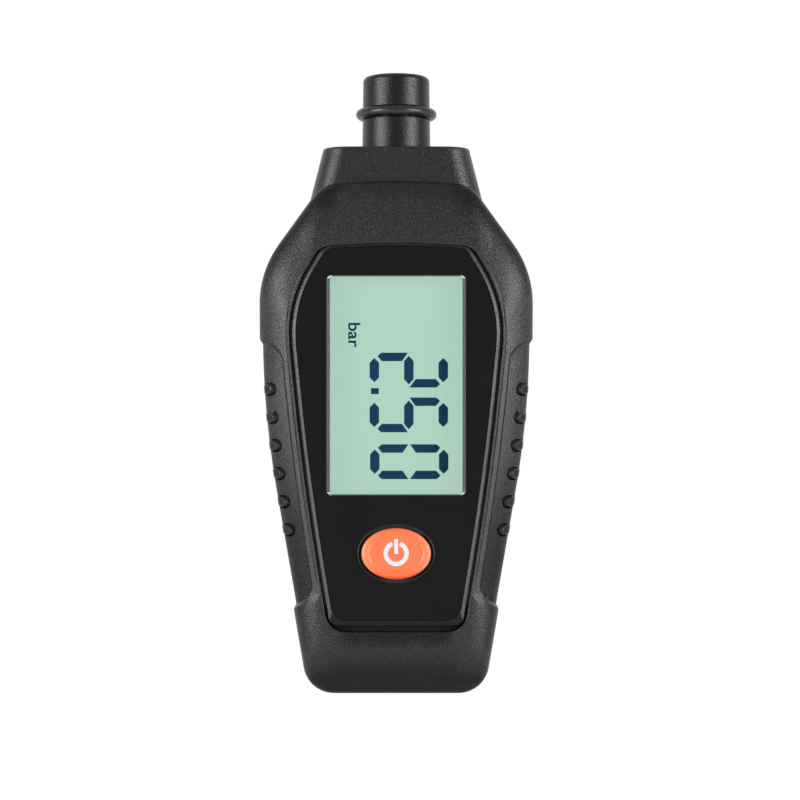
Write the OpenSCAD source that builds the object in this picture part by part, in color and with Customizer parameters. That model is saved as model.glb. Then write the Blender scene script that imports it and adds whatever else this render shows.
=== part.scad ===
// Digital tire pressure gauge: two-part case with a ribbed grip, display, power button,
// tapered neck and straight valve nozzle. Stands on its base, front towards -Y, nozzle up.

/* [Case] */
// Width of the case at its widest
case_w = 47.8; // [47:0.1:54]
// Height of the covers, from the base to the peak of the hood
case_h = 89.8; // [89.5:0.1:100]
// Depth from the nozzle's axis to the front of the cover
front_d = 13; // [12.6:0.1:16]
// Depth from the nozzle's axis to the back of the case
back_d = 13.5; // [13.2:0.1:17]
// Place of the seam between the covers, behind the nozzle's axis
seam_y = 1; // [0.5:0.1:2]
// Thickness of the side walls
wall = 2; // [1.6:0.1:2.2]
// Thickness of the cover's front wall, round the face
front_wall = 1.8; // [1.6:0.1:2]
// Thickness of the back wall
back_wall = 2; // [1.8:0.1:2.2]
// Width of the hood between its corners
hood_w = 25.9; // [24:0.1:30]
// Drop from the hood's peak to its corners
hood_drop = 0.9; // [0.4:0.1:1.5]
// Radius of the hood's arch
hood_arch_r = 120; // [60:1:140]
// Corner radius of the hood
hood_corner_r = 5.1; // [3:0.1:8]
// Drop from the hood's peak to the shoulder corner
shoulder_drop = 16; // [15:0.1:19]
// Corner radius of the shoulder
shoulder_r = 18; // [8:0.1:20]
// Drop from the hood's peak to the corner of the waist
waist_drop = 40.3; // [37:0.1:44]
// Radius of the waist's long curve
waist_r = 165; // [80:1:180]
// Width of the base between its corners
base_w = 30.6; // [29:0.1:34]
// Corner radius of the base
base_corner_r = 5.0; // [3:0.1:7]
// Depth of the rolled front edge at the sides
edge_d = 5.2; // [4.7:0.1:5.7]
// Part of that depth taken by the slope at the lip, at the sides
edge_lean = 2.4; // [1.6:0.1:2.8]
// Depth of the rolled front edge at the hood and base
end_edge_d = 3.5; // [3:0.1:4]
// Width of the rolled back edge
back_edge_w = 4; // [3:0.1:4.5]
// Depth of the rolled back edge
back_edge_d = 4.2; // [3:0.1:4.4]

/* [Grip] */
// Height of the grip recess's top edge above the base
grip_top_z = 61.5; // [58:0.1:64]
// Height of the grip recess's bottom edge above the base
grip_bottom_z = 15; // [13:0.1:19]
// Depth of the grip recess
grip_d = 0.55; // [0.4:0.05:0.8]
// Ledge between the face opening and the grip recess
grip_ledge = 1.4; // [1.1:0.05:1.5]
// Drop of the recess's top edge from the outside to the ledge
grip_top_fall = 2.6; // [1:0.1:4]
// Distance of the top edge's knee in from the case's outline
grip_knee = 2; // [1.5:0.1:2.5]
// Drop of the recess's top edge from the outside to its knee
grip_knee_fall = 0.4; // [0.2:0.1:0.8]
// Width of the recess at its bottom
grip_w = 6; // [5.5:0.1:7]
// Steepness of the recess's bottom edge
grip_bottom_slope = 0.75; // [0.5:0.01:1.6]
// Place of the grip recess's back end, behind the nozzle's axis
grip_back_y = 8.6; // [7:0.1:9]
// Number of ribs on each side
rib_count = 6; // [4:1:7]
// Height of the top rib above the base
rib_top_z = 53.25; // [52:0.05:55]
// Spacing of the ribs
rib_pitch = 4.91; // [4:0.01:5.4]
// Height of one rib
rib_h = 1.7; // [1.4:0.05:2.4]
// Rise of the ribs above the recess's floor
rib_rise = 0.22; // [0.15:0.01:0.4]
// Reach of a rib's tip in from the case's outline
rib_reach = 2.2; // [1.8:0.05:3]

/* [Face] */
// Width of the face panel at its widest
panel_w = 35.8; // [35.2:0.1:36.2]
// Height of the panel's bottom edge above the base
panel_z = 13.6; // [13.2:0.1:15]
// Height of the panel
panel_h = 64.6; // [63.6:0.1:65.4]
// Thickness of the panel
panel_t = 1.2; // [1:0.1:1.4]
// Width of the panel's top edge between its corners
panel_top_w = 24; // [22:0.1:26]
// Drop from the peak of the panel's top edge to its corners
panel_top_drop = 0.7; // [0.3:0.1:1.2]
// Radius of the panel's arched top edge
panel_arch_r = 110; // [60:1:120]
// Radius of the panel's top corners
panel_top_r = 1.8; // [1:0.1:3]
// Drop from the panel's top to its shoulder corner
panel_shoulder_drop = 10.35; // [9.5:0.05:11.5]
// Radius of the panel's shoulder
panel_shoulder_r = 21.5; // [15:0.5:26]
// Width of the panel at its waist
panel_waist_w = 30.1; // [29.4:0.1:31]
// Drop from the panel's top to the corner of its waist
panel_waist_drop = 38.95; // [36:0.05:41]
// Radius of the panel's waist
panel_waist_r = 480; // [200:10:600]
// Width of the panel's bottom edge between its corners
panel_base_w = 21.8; // [20:0.1:23]
// Radius of the panel's bottom corners
panel_base_r = 2.9; // [1.5:0.1:4]
// Depth of the panel below the bezel's rim
panel_recess = 0.1; // [0.05:0.05:0.2]
// Width of the bezel's sloping rim
rim_w = 0.68; // [0.4:0.02:0.9]
// Flat land on top of the bezel's rim
rim_land = 0.12; // [0.1:0.02:0.2]
// Depth of the bezel's sloping rim
rim_drop = 0.34; // [0.2:0.02:0.5]
// Extra width of the bezel's sill, below the panel
sill_w = 0.85; // [0.4:0.05:1.2]
// Cut in the rim's width along the panel's top
rim_top_cut = 0.3; // [0.1:0.05:0.4]
// Rise of the bezel above the cover
bezel_rise = 0.4; // [0.2:0.05:0.6]
// Width of the groove round the bezel
groove_w = 0.52; // [0.4:0.02:0.8]
// Cut in the groove's width along the panel's top
groove_top_cut = 0.5; // [0.1:0.05:0.5]
// Rounding of the cover's lip at the groove
lip_r = 0.2; // [0.1:0.05:0.3]
// Width of the bezel's flange behind the cover
bezel_flange_w = 1.2; // [1:0.1:1.4]
// Thickness of the bezel's flange
bezel_flange_t = 1.3; // [1.2:0.1:1.6]

/* [Display] */
// Width of the display window
window_w = 23.05; // [22.4:0.05:23.6]
// Height of the display window
window_h = 37.9; // [36:0.1:38.4]
// Height of the window's middle above the base
window_z = 53.95; // [53.6:0.05:54.6]
// Corner radius of the window
window_r = 0.7; // [0.5:0.1:2]
// Bevel of the window at its sides
window_bevel = 0.47; // [0.3:0.01:0.6]
// Margin of the clear lens round the window
lens_margin = 0.95; // [0.7:0.05:1.2]
// Thickness of the lens
lens_t = 1; // [0.8:0.1:1.1]
// Margin of the display glass beside the window
lcd_side_margin = 0.9; // [0.7:0.1:1.1]
// Margin of the display glass above and below the window
lcd_end_margin = 1.7; // [1.2:0.1:2]
// Thickness of the display glass
lcd_t = 2.2; // [1.8:0.1:2.4]
// Thickness of the backlight plate
backlight_t = 1.6; // [1.2:0.1:1.8]
// Width of one rubber contact strip
zebra_w = 1.4; // [1:0.1:1.6]
// Wall of the display holder
holder_wall = 1; // [0.8:0.1:1.2]

/* [Button] */
// Width of the power button
button_w = 11.95; // [10.5:0.05:13]
// Height of the power button
button_h = 8.8; // [8:0.05:10]
// Height of the button's middle above the base
button_z = 24.95; // [24:0.05:26]
// Rise of the button above the panel
button_rise = 0.9; // [0.8:0.05:1.2]
// Width of the button's sloping edge
button_edge_w = 0.5; // [0.3:0.05:0.8]
// Depth of the button's sloping edge
button_edge_d = 0.35; // [0.3:0.05:0.5]
// Width of the flat ring round the dish
button_ring_w = 0.75; // [0.5:0.05:1]
// Depth of the dish in the button's face
button_dish = 0.12; // [0.1:0.02:0.24]
// Width of the sloping edge of the dish
button_dish_edge = 0.22; // [0.2:0.02:0.4]
// Gap between the button and the panel
button_gap = 0.6; // [0.4:0.05:0.8]
// Width of the button's flange, behind the panel
button_flange_w = 1.3; // [1.1:0.05:1.5]
// Thickness of the button's flange
button_flange_t = 0.8; // [0.6:0.1:0.9]
// Diameter of the button's stem
button_stem_d = 5; // [3.6:0.1:6]
// Travel of the button
button_travel = 0.6; // [0.3:0.05:0.7]
// Outer diameter of the power mark's ring
mark_d = 4.34; // [3.6:0.02:5]
// Line width of the power mark
mark_line = 0.74; // [0.4:0.01:0.9]
// Half angle of the gap in the power mark's ring
mark_gap = 21; // [18:1:40]
// Height of the power mark's bar above the ring's middle
mark_bar_h = 2.5; // [2:0.05:2.8]
// Depth of the power mark's inlay
mark_t = 0.3; // [0.2:0.05:0.5]
// Width of the tact switch
switch_w = 6; // [5:0.1:7]
// Height of the tact switch above the board
switch_h = 3.4; // [3:0.1:3.6]
// Diameter of the switch's plunger
plunger_d = 3.5; // [2.5:0.1:4]
// Rise of the plunger above the switch
plunger_rise = 0.9; // [0.8:0.05:1.2]

/* [Neck and nozzle] */
// Drop from the hood's peak to the seat of the collar
neck_drop = 4; // [3.8:0.1:4.6]
// Height of the collar above its seat
collar_h = 10; // [8:0.1:12]
// Width of the collar's top
collar_top_w = 26.0; // [23:0.1:27]
// Width of the collar at its seat
collar_base_w = 30.8; // [30:0.1:33]
// Depth of the collar's top, between its bowed faces
collar_top_d = 17.4; // [16.5:0.1:18]
// Depth of the collar at its seat
collar_base_d = 18.6; // [18:0.1:19]
// Bow of the collar's front and back
collar_bow = 0.6; // [0.4:0.05:1]
// Radius of the collar's bowed front and back
collar_bow_r = 160; // [60:5:170]
// Corner radius of the collar
collar_r = 4.4; // [3:0.1:5]
// Rounding of the collar's top edge
collar_edge_r = 0.5; // [0.4:0.1:1.2]
// Thickness of the shelf in the covers that holds the collar
shelf_t = 1.3; // [1:0.1:1.6]
// Width of the collar's spigot through the shelf
spigot_w = 24.8; // [22:0.1:25.4]
// Depth of the collar's spigot
spigot_d = 14.8; // [14:0.1:15]
// Step of the collar's flange below the shelf
collar_flange_w = 1.2; // [0.8:0.1:1.3]
// Thickness of the collar's flange
collar_flange_t = 2; // [1.6:0.1:2.4]
// Height of the nozzle above the collar
nozzle_h = 13.3; // [11:0.1:16]
// Diameter of the nozzle at its mouth
nozzle_top_d = 11.8; // [11.6:0.1:12.4]
// Diameter of the nozzle at the collar
nozzle_base_d = 12.2; // [12:0.1:13]
// Rounding of the nozzle's top edge
nozzle_edge_r = 0.9; // [0.4:0.1:1.2]
// Diameter of the nozzle's mouth, for a valve stem
mouth_d = 8.5; // [8:0.1:8.9]
// Depth of the nozzle's mouth to the seal
mouth_depth = 6.3; // [5:0.1:6.6]
// Chamfer of the mouth's edge
mouth_chamfer = 0.4; // [0.2:0.1:0.6]
// Diameter of the nozzle's flange, under the collar
nozzle_flange_d = 14.4; // [13.8:0.1:15]
// Thickness of the nozzle's flange
nozzle_flange_t = 1.8; // [1.5:0.1:1.8]
// Section diameter of the O-ring
ring_section = 1.8; // [1.4:0.1:2]
// Outer diameter of the O-ring
ring_d = 14.4; // [13.6:0.1:15]
// Drop from the nozzle's top to the O-ring's middle
ring_drop = 6.7; // [5.5:0.1:8]
// Thickness of the valve seal
seal_t = 2; // [1.6:0.1:2.4]
// Hole through the valve seal
seal_hole_d = 3.4; // [3:0.1:4]
// Depth of the undercut that holds the seal
seal_undercut = 0.35; // [0.2:0.05:0.4]
// Diameter of the depressor pin
pin_d = 2.5; // [2:0.1:2.8]
// Depth of the depressor pin's seat below the seal
pin_seat = 4; // [2:0.1:6]
// Diameter of the air passage
air_d = 1.6; // [1:0.1:1.8]
// Diameter of the hose stems on the nozzle and the sensor
stem_d = 3.2; // [2.6:0.1:3.4]
// Length of the nozzle's hose stem below the retainer
stem_l = 3; // [2:0.1:4]
// Wall of the air tube
tube_wall = 1.15; // [0.8:0.05:1.4]
// Thickness of the nozzle retainer
retainer_t = 1.5; // [1.2:0.1:2]
// Width of the nozzle retainer
retainer_w = 24; // [23:0.1:26]
// Depth of the nozzle retainer
retainer_d = 11; // [10:0.1:13]
// Spacing of the retainer's screws
retainer_screw_span = 19.4; // [19:0.1:21]

/* [Electronics] */
// Thickness of the circuit board
board_t = 1.4; // [1:0.1:1.6]
// Margin of the circuit board beside its upper posts
board_margin = 1.6; // [1.2:0.1:2.2]
// Width of the board's lower end
board_foot_w = 21; // [20:0.1:22]
// Height of the board's lower end above the base
board_z = 11; // [10.6:0.1:12]
// Width of the pressure sensor
sensor_w = 9; // [8:0.1:10]
// Height of the pressure sensor
sensor_h = 8; // [7:0.1:8.6]
// Depth of the pressure sensor
sensor_d = 8; // [7.4:0.1:8.6]
// Height of the sensor's port
port_h = 3; // [2:0.1:3.2]
// Gap between the battery bay and the sensor
sensor_gap = 1.6; // [1:0.1:2]
// Width of the controller chip
chip_w = 10; // [7:0.1:12]
// Thickness of the controller chip
chip_t = 1.4; // [1:0.1:1.6]

/* [Batteries] */
// Diameter of one cell
cell_d = 10.5; // [10:0.1:10.6]
// Length of one cell with its terminal
cell_l = 44.5; // [43:0.1:45]
// Diameter of a cell's terminal
cell_nub_d = 3.8; // [3:0.1:4.4]
// Height of a cell's terminal
cell_nub_h = 0.9; // [0.8:0.1:1.2]
// Gap between the cells
cell_gap = 0.7; // [0.5:0.1:1]
// Room between the cells and the battery door
cell_room = 1.3; // [1:0.1:1.6]
// Height of the battery bay's floor end above the base
bay_z = 13; // [12.9:0.1:14]
// Thickness of the bay's walls
bay_wall = 1.2; // [1:0.1:1.4]
// Room beside the cells in the bay
bay_room = 0.6; // [0.3:0.1:0.9]
// Thickness of the contact plates
contact_t = 0.4; // [0.3:0.05:0.6]
// Height of a contact spring, pressed by its cell
spring_h = 5; // [4.8:0.1:5.6]
// Wire diameter of a contact spring
spring_wire = 0.7; // [0.5:0.05:0.75]
// Widest radius of a contact spring
spring_r = 4; // [3.4:0.1:4.4]
// Radius of a contact spring at the cell
spring_tip_r = 2.4; // [2:0.1:2.8]
// Turns of a contact spring
spring_turns = 3.5; // [2.5:0.5:3.5]
// Thickness of the battery door
door_t = 1.8; // [1.6:0.1:2]
// Ledge of the door on the bay's walls
door_ledge = 0.7; // [0.5:0.1:0.9]
// Length of the door beyond the bay's upper end
door_top_l = 2.4; // [2:0.1:3]
// Corner radius of the door
door_r = 1.5; // [0.8:0.1:2.5]
// Width of one tab at the door's lower edge
tab_w = 2.4; // [1.6:0.1:2.6]
// Length of the tabs below the door
tab_l = 1.7; // [1.2:0.1:1.8]
// Thickness of the tabs
tab_t = 1.4; // [1:0.1:1.5]
// Width of the door's latch tongue
latch_w = 10; // [7:0.1:12]
// Length of the door's latch tongue
latch_l = 8; // [6:0.1:10]
// Width of the slots beside the latch tongue
latch_slot = 0.8; // [0.5:0.1:1]
// Depth of the thumb dish in the latch tongue
latch_dish = 0.6; // [0.3:0.1:0.8]
// Spacing of the ridges in the thumb dish
ridge_pitch = 1.6; // [1.2:0.1:2]
// Width of one ridge
ridge_w = 0.7; // [0.4:0.1:0.9]
// Diameter of one battery lead
lead_d = 1.2; // [0.8:0.1:1.4]

/* [Screws and fits] */
// Thread diameter of the case screws
case_screw_d = 2.2; // [2:0.1:2.4]
// Head diameter of the case screws
case_screw_head_d = 4.2; // [3.8:0.1:4.4]
// Depth of the case screws' heads below the back
case_screw_sink = 3.4; // [2.4:0.1:5]
// Reach of the case screws past the seam
case_screw_reach = 6; // [4:0.1:7]
// Gap between the display holder and the upper screw bosses
boss_gap = 0.75; // [0.5:0.05:1]
// Height of the upper case screws above the base
upper_screw_z = 69.6; // [69:0.1:71]
// Spacing of the lower case screws
lower_screw_span = 18; // [15:0.1:19]
// Height of the lower case screws above the base
lower_screw_z = 6.8; // [6.6:0.1:7]
// Diameter of the screw bosses
boss_d = 5; // [4.6:0.1:5.2]
// Thread diameter of the small screws
small_screw_d = 1.7; // [1.4:0.1:1.9]
// Head diameter of the small screws
small_screw_head_d = 3.2; // [2.8:0.1:3.4]
// Head height of the small screws
small_screw_head_h = 1.2; // [0.9:0.1:1.3]
// Length of the small screws below the head
small_screw_l = 4.4; // [3.8:0.1:4.6]
// Diameter of the board posts
post_d = 4; // [3.6:0.1:4.2]
// Gap between the display holder and the upper board posts
post_gap = 0.25; // [0.2:0.05:0.4]
// Height of the upper board posts above the base
upper_post_z = 57.6; // [50:0.1:61]
// Spacing of the lower board posts
lower_post_span = 17; // [16:0.1:17.4]
// Height of the lower board posts above the base
lower_post_z = 16.6; // [16.2:0.1:17.2]
// Gap between parts that sit in each other
fit = 0.1; // [0.05:0.01:0.2]
// Gap round the door and the collar
part_gap = 0.3; // [0.2:0.05:0.4]
// Gap round a screw in its thread
thread_gap = 0.02; // [0.01:0.01:0.05]

/* [Hidden] */

// Smoothness of round parts and of the lofted covers
$fn = 48;
arc_steps = 6;
edge_steps = 6;
oval_steps = 56;
least_r = 0.1;
// Share of an edge that the rounds at its two ends may take
corner_share = 0.98;
// Overshoot of a cut past the face that it opens
past = 1;

// Depths of the stacked face, front to back
front_y = -front_d;
rim_y = front_y - bezel_rise;
panel_y = rim_y + panel_recess;
panel_back_y = panel_y + panel_t;
lens_back_y = panel_back_y + lens_t;
flange_y = front_y + front_wall;
bezel_back_y = flange_y + bezel_flange_t;
lcd_y = bezel_back_y + fit;
lcd_back_y = lcd_y + lcd_t;
board_y = lcd_back_y + backlight_t;
board_back_y = board_y + board_t;
switch_y = board_y - switch_h;
plunger_y = switch_y - plunger_rise;
button_y = panel_y - button_rise;
button_flange_y = panel_back_y + fit;
dish_y = button_y + button_dish;

// Depths and heights of the battery bay
door_y = back_d - door_t;
cell_y = door_y - cell_room - cell_d / 2;
bay_y = cell_y - cell_d / 2 - fit;
bay_front_y = bay_y - bay_wall;
cell_x = (cell_d + cell_gap) / 2;
bay_half_w = cell_x + cell_d / 2 + bay_room;
bay_l = cell_l + spring_h + 2 * contact_t;
bay_top_z = bay_z + bay_l;
door_half_w = bay_half_w + door_ledge;
door_z = bay_z - door_ledge;
door_top_z = bay_top_z + door_top_l;
tab_x = bay_half_w - tab_w / 2 - part_gap;
tab_back_y = back_d - back_wall - fit;

// Heights of the neck and nozzle
seat_z = case_h - neck_drop;
collar_top_z = seat_z + collar_h;
shelf_z = seat_z - shelf_t;
collar_flange_z = shelf_z - fit - collar_flange_t;
retainer_z = collar_flange_z - retainer_t;
stem_z = retainer_z - stem_l;
nozzle_top_z = collar_top_z + nozzle_h;
seal_top_z = nozzle_top_z - mouth_depth;
seal_z = seal_top_z - seal_t;
ring_z = nozzle_top_z - ring_drop;
ring_seat_r = ring_d / 2 - ring_section - thread_gap;
sensor_z = bay_top_z + bay_wall + sensor_gap;
sensor_top_z = sensor_z + sensor_h;
port_top_z = sensor_top_z + port_h;

// Display stack
lens_w = window_w + 2 * lens_margin;
lens_h = window_h + 2 * lens_margin;
lcd_w = window_w + 2 * lcd_side_margin;
lcd_h = window_h + 2 * lcd_end_margin;
holder_w = lcd_w + 2 * (fit + holder_wall);
holder_h = lcd_h + 2 * (fit + holder_wall);
board_top_z = window_z + holder_h / 2;
upper_post_x = holder_w / 2 + post_gap + post_d / 2;
upper_screw_x = holder_w / 2 + boss_gap + boss_d / 2;

// Screw places, as [x, z]
case_screw_spots = [
  [upper_screw_x, upper_screw_z],
  [-upper_screw_x, upper_screw_z],
  [lower_screw_span / 2, lower_screw_z],
  [-lower_screw_span / 2, lower_screw_z]
];
post_spots = [
  [upper_post_x, upper_post_z],
  [-upper_post_x, upper_post_z],
  [lower_post_span / 2, lower_post_z],
  [-lower_post_span / 2, lower_post_z]
];
screw_seat_y = back_d - case_screw_sink;
case_screw_head_h = 1.6;
pilot_depth = 1;
// Crossed recess in a screw's head, as shares of its diameter
cross_length = 0.62;
cross_width = 0.16;

// Colours
black_plastic = "#2b2b2c";
board_green = "#1f5b39";
steel = "#b9bcc0";

// A loop is a list of corners [across, up, radius], clockwise as seen from its first side
function spot(c, i) = let(p = c[(i + len(c)) % len(c)]) [p[0], p[1]];
function corner_r(c, i) = c[(i + len(c)) % len(c)][2];
function way(c, i) = let(d = spot(c, i + 1) - spot(c, i)) d / norm(d);
function turn(c, i) = acos(min(1, way(c, i - 1) * way(c, i)));
function reach(c, i) = corner_r(c, i) * tan(turn(c, i) / 2);
function room(c, i) = norm(spot(c, i + 1) - spot(c, i)) / (reach(c, i) + reach(c, i + 1));
function fit_r(c, i) = corner_r(c, i) * min(1, corner_share * room(c, i - 1), corner_share * room(c, i));
function swing(v, a) = [v[0] * cos(a) + v[1] * sin(a), v[1] * cos(a) - v[0] * sin(a)];
function round_corner(c, i) =
  let(u = way(c, i - 1), r = fit_r(c, i), a = turn(c, i), inward = [u[1], -u[0]])
  let(centre = spot(c, i) - u * r * tan(a / 2) + inward * r)
  [for (k = [0:arc_steps]) centre + swing(-inward * r, a * k / arc_steps)];
function outline(c) = [for (i = [0:len(c) - 1]) each round_corner(c, i)];
function grown_corner(c, i, d) =
  let(u = way(c, i - 1), w = way(c, i), p = spot(c, i) - d * (w - u) / abs(cross(u, w)))
  [p[0], p[1], max(corner_r(c, i) + d, least_r)];
function grow(c, d) = [for (i = [0:len(c) - 1]) grown_corner(c, i, d)];
function both_sides(half) =
  concat(half, [for (i = [len(half) - 1:-1:1]) [-half[i][0], half[i][1], half[i][2]]]);
function box_loop(w, z0, z1, r) =
  [[w / 2, z1, r], [w / 2, z0, r], [-w / 2, z0, r], [-w / 2, z1, r]];
// Lower the two bottom corners of a nine-corner loop along its sides, and sharpen them as much
function lower_sill(c, d) =
  let(u = way(c, 3), p = spot(c, 4) + u * d / abs(u[1]), r = corner_r(c, 4) - d)
  concat([for (i = [0:3]) c[i]], [[p[0], p[1], r], [-p[0], p[1], r]], [for (i = [6:8]) c[i]]);
// Lower its top edge, with the two top corners kept on the shoulder lines
function lower_top(c, d) =
  let(u = way(c, 1), p = spot(c, 1) + u * d / abs(u[1]), r = corner_r(c, 1))
  concat([c[0] - [0, d, 0], [p[0], p[1], r]], [for (i = [2:7]) c[i]], [[-p[0], p[1], r]]);

case_loop = both_sides([
  [0, case_h, hood_arch_r],
  [hood_w / 2, case_h - hood_drop, hood_corner_r],
  [case_w / 2, case_h - shoulder_drop, shoulder_r],
  [case_w / 2, case_h - waist_drop, waist_r],
  [base_w / 2, 0, base_corner_r]
]);
panel_loop = both_sides([
  [0, panel_z + panel_h, panel_arch_r],
  [panel_top_w / 2, panel_z + panel_h - panel_top_drop, panel_top_r],
  [panel_w / 2, panel_z + panel_h - panel_shoulder_drop, panel_shoulder_r],
  [panel_waist_w / 2, panel_z + panel_h - panel_waist_drop, panel_waist_r],
  [panel_base_w / 2, panel_z, panel_base_r]
]);
bezel_loop = lower_top(lower_sill(grow(panel_loop, rim_w), sill_w), rim_top_cut);
opening_loop = lower_top(grow(bezel_loop, groove_w), groove_top_cut);
lip_loop = grow(opening_loop, lip_r);
flange_loop = grow(opening_loop, bezel_flange_w);
door_loop = box_loop(2 * door_half_w, door_z, door_top_z, door_r);

// Half width at a height, of the case and of the ledge inside the grips
function right_side(c) = [for (p = outline(c)) if (p[0] > 0) [p[1], p[0]]];
case_side = right_side(case_loop);
ledge_side = right_side(grow(lip_loop, grip_ledge));
function side_x(z) = lookup(z, case_side);

// Depth of the rolled edge at each point of the case's outline, with its lean:
// the corners of hood and base are shallower, and only the shoulders and waist lean
function rolled(side_d, end_d, lean) = [
  for (i = [0:8], k = [0:arc_steps])
    i == 2 || i == 3 || i == 6 || i == 7 ? [side_d, lean] : [end_d, 0]
];

// Solid through rings of equal count, the first ring's outside facing the viewer
module loft(rings) {
  n = len(rings[0]);
  last = (len(rings) - 1) * n;
  sides = [
    for (k = [0:len(rings) - 2], i = [0:n - 1])
      let(j = (i + 1) % n, a = k * n + i, b = k * n + j, c = a + n, d = b + n)
      each [[a, c, d], [a, d, b]]
  ];
  first_cap = [[for (i = [0:n - 1]) i]];
  last_cap = [[for (i = [n - 1:-1:0]) last + i]];
  polyhedron([for (r = rings) each r], concat(sides, first_cap, last_cap));
}

// Tube along points, with a ring turned to each step of the path
function unit(v) = v / norm(v);
function tube_ring(path, i, r, sides, aside) =
  let(n = len(path), t = unit(path[min(i + 1, n - 1)] - path[max(i - 1, 0)]))
  let(u = unit(cross(t, aside)), w = cross(t, u))
  [for (k = [0:sides - 1]) let(a = 360 * k / sides) path[i] + r * (cos(a) * u + sin(a) * w)];
module tube(path, r, sides, aside) {
  loft([for (i = [len(path) - 1:-1:0]) tube_ring(path, i, r, sides, aside)]);
}

// A flat outline of the front view as a slab between two depths
module slab(y0, y1) {
  translate([0, y1, 0]) rotate([90, 0, 0]) linear_extrude(y1 - y0) children();
}

// A round bar along the depth at [x, z]
module bar(at, y0, y1, d) {
  translate([at[0], y1, at[1]]) rotate([90, 0, 0]) cylinder(h = y1 - y0, d = d);
}

// A round rod up the middle depth at x
module rod(x, z0, z1, d) {
  translate([x, 0, z0]) cylinder(h = z1 - z0, d = d);
}

// A box centred across at x and between depths and heights
module block(x, w, y0, y1, z0, z1) {
  translate([x - w / 2, y0, z0]) cube([w, y1 - y0, z1 - z0]);
}

function ring_at(pts, y) = [for (p = pts) [p[0], y, p[1]]];
function level_at(pts, z) = [for (p = pts) [p[0], p[1], z]];
function between(outer, inner, share) =
  [for (i = [0:len(outer) - 1]) inner[i] + (outer[i] - inner[i]) * share];
function rolled_ring(outer, inner, a, y, depth) =
  let(flat = between(outer, inner, sin(a))) [
    for (i = [0:len(flat) - 1]) let(lean = depth[i][1], roll = depth[i][0] - lean)
      [flat[i][0], y + lean * sin(a) + roll * (1 - cos(a)), flat[i][1]]
  ];
function rolls(outer, inner, y, depth, steps) =
  [for (k = steps) rolled_ring(outer, inner, 90 * k / edge_steps, y, depth)];
front_steps = [0:edge_steps];
back_steps = [edge_steps:-1:0];
// The button's outline
function oval(w, h) = [
  for (i = [0:oval_steps - 1]) let(a = -360 * i / oval_steps)
    [w / 2 * cos(a), button_z + h / 2 * sin(a)]
];

// Outside of the front cover, drawn in by d
module front_skin(d) {
  outer = outline(grow(case_loop, -d));
  inner = outline(lip_loop);
  depth = rolled(edge_d, end_edge_d, edge_lean);
  loft(concat(rolls(outer, inner, front_y + d, depth, front_steps), [ring_at(outer, seam_y)]));
}

// Outside of the rear cover, drawn in by d
module rear_skin(d) {
  outer = outline(grow(case_loop, -d));
  inner = outline(grow(case_loop, -d - back_edge_w));
  depth = rolled(-back_edge_d, -back_edge_d, 0);
  loft(concat([ring_at(outer, seam_y)], rolls(outer, inner, back_d - d, depth, back_steps)));
}

module front_cavity() {
  outer = outline(grow(case_loop, -wall));
  inner = outline(grow(flange_loop, part_gap));
  depth = rolled(edge_d - wall / 2, end_edge_d - wall / 2, edge_lean);
  loft(concat(rolls(outer, inner, flange_y, depth, front_steps), [ring_at(outer, seam_y + past)]));
}

module rear_cavity() {
  outer = outline(grow(case_loop, -wall));
  inner = outline(grow(case_loop, -wall - back_edge_w / 2));
  depth = rolled(-back_edge_d / 2, -back_edge_d / 2, 0);
  back = rolls(outer, inner, back_d - back_wall, depth, back_steps);
  loft(concat([ring_at(outer, seam_y - past)], back));
}

// Front view of the right grip recess, outside the ledge round the face
module grip_window() {
  out_x = case_w / 2 + past;
  low_x = side_x(grip_bottom_z);
  in_x = low_x - grip_w;
  ledge_x = lookup(grip_top_z - grip_top_fall, ledge_side);
  difference() {
    polygon([
      [in_x, grip_top_z - 2 * grip_top_fall],
      [ledge_x, grip_top_z - grip_top_fall],
      [case_w / 2 - grip_knee, grip_top_z - grip_knee_fall],
      [out_x, grip_top_z],
      [out_x, grip_bottom_z - grip_bottom_slope * (out_x - low_x)],
      [in_x, grip_bottom_z - grip_bottom_slope * (in_x - low_x)]
    ]);
    polygon(outline(grow(lip_loop, grip_ledge)));
  }
}

// Front view of one rib, with a round tip
module rib_bar(z) {
  tip = [side_x(z) - rib_reach + rib_h / 2, z];
  far = case_w / 2 + past;
  arc = [for (a = [90:20:270]) tip + rib_h / 2 * [cos(a), sin(a)]];
  polygon(concat(arc, [[far, z - rib_h / 2], [far, z + rib_h / 2]]));
}

module both_grips() {
  for (side = [0, 1]) mirror([side, 0, 0]) children();
}

// What the grips take away from a cover: children are its skin at the floor and at the ribs
module grip_cut() {
  both_grips() difference() {
    slab(front_y - past, grip_back_y) grip_window();
    children(0);
    intersection() {
      slab(front_y - past, grip_back_y + past) {
        for (i = [0:rib_count - 1]) rib_bar(rib_top_z - i * rib_pitch);
      }
      children(1);
    }
  }
}

// Collar outline between its top and its seat
function collar_loop(w, d) = let(x = w / 2, y = d / 2) [
  [0, y, collar_bow_r], [x, y - collar_bow, collar_r], [x, collar_bow - y, collar_r],
  [0, -y, collar_bow_r], [-x, collar_bow - y, collar_r], [-x, y - collar_bow, collar_r]
];

// The tapered collar, grown by d all round
module collar_body(d) {
  top = collar_loop(collar_top_w, collar_top_d);
  base = outline(grow(collar_loop(collar_base_w, collar_base_d), d));
  rounds = [
    for (a = [0:30:90]) let(in = collar_edge_r * (1 - sin(a)), down = collar_edge_r * (1 - cos(a)))
      level_at(outline(grow(top, d - in)), collar_top_z + d - down)
  ];
  loft(concat(rounds, [level_at(base, seat_z)]));
}

// The shelf that holds the collar's spigot, within a cover's cavity
module neck_shelf(y0, y1) {
  block(0, case_w, y0, y1, shelf_z, seat_z);
}

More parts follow.
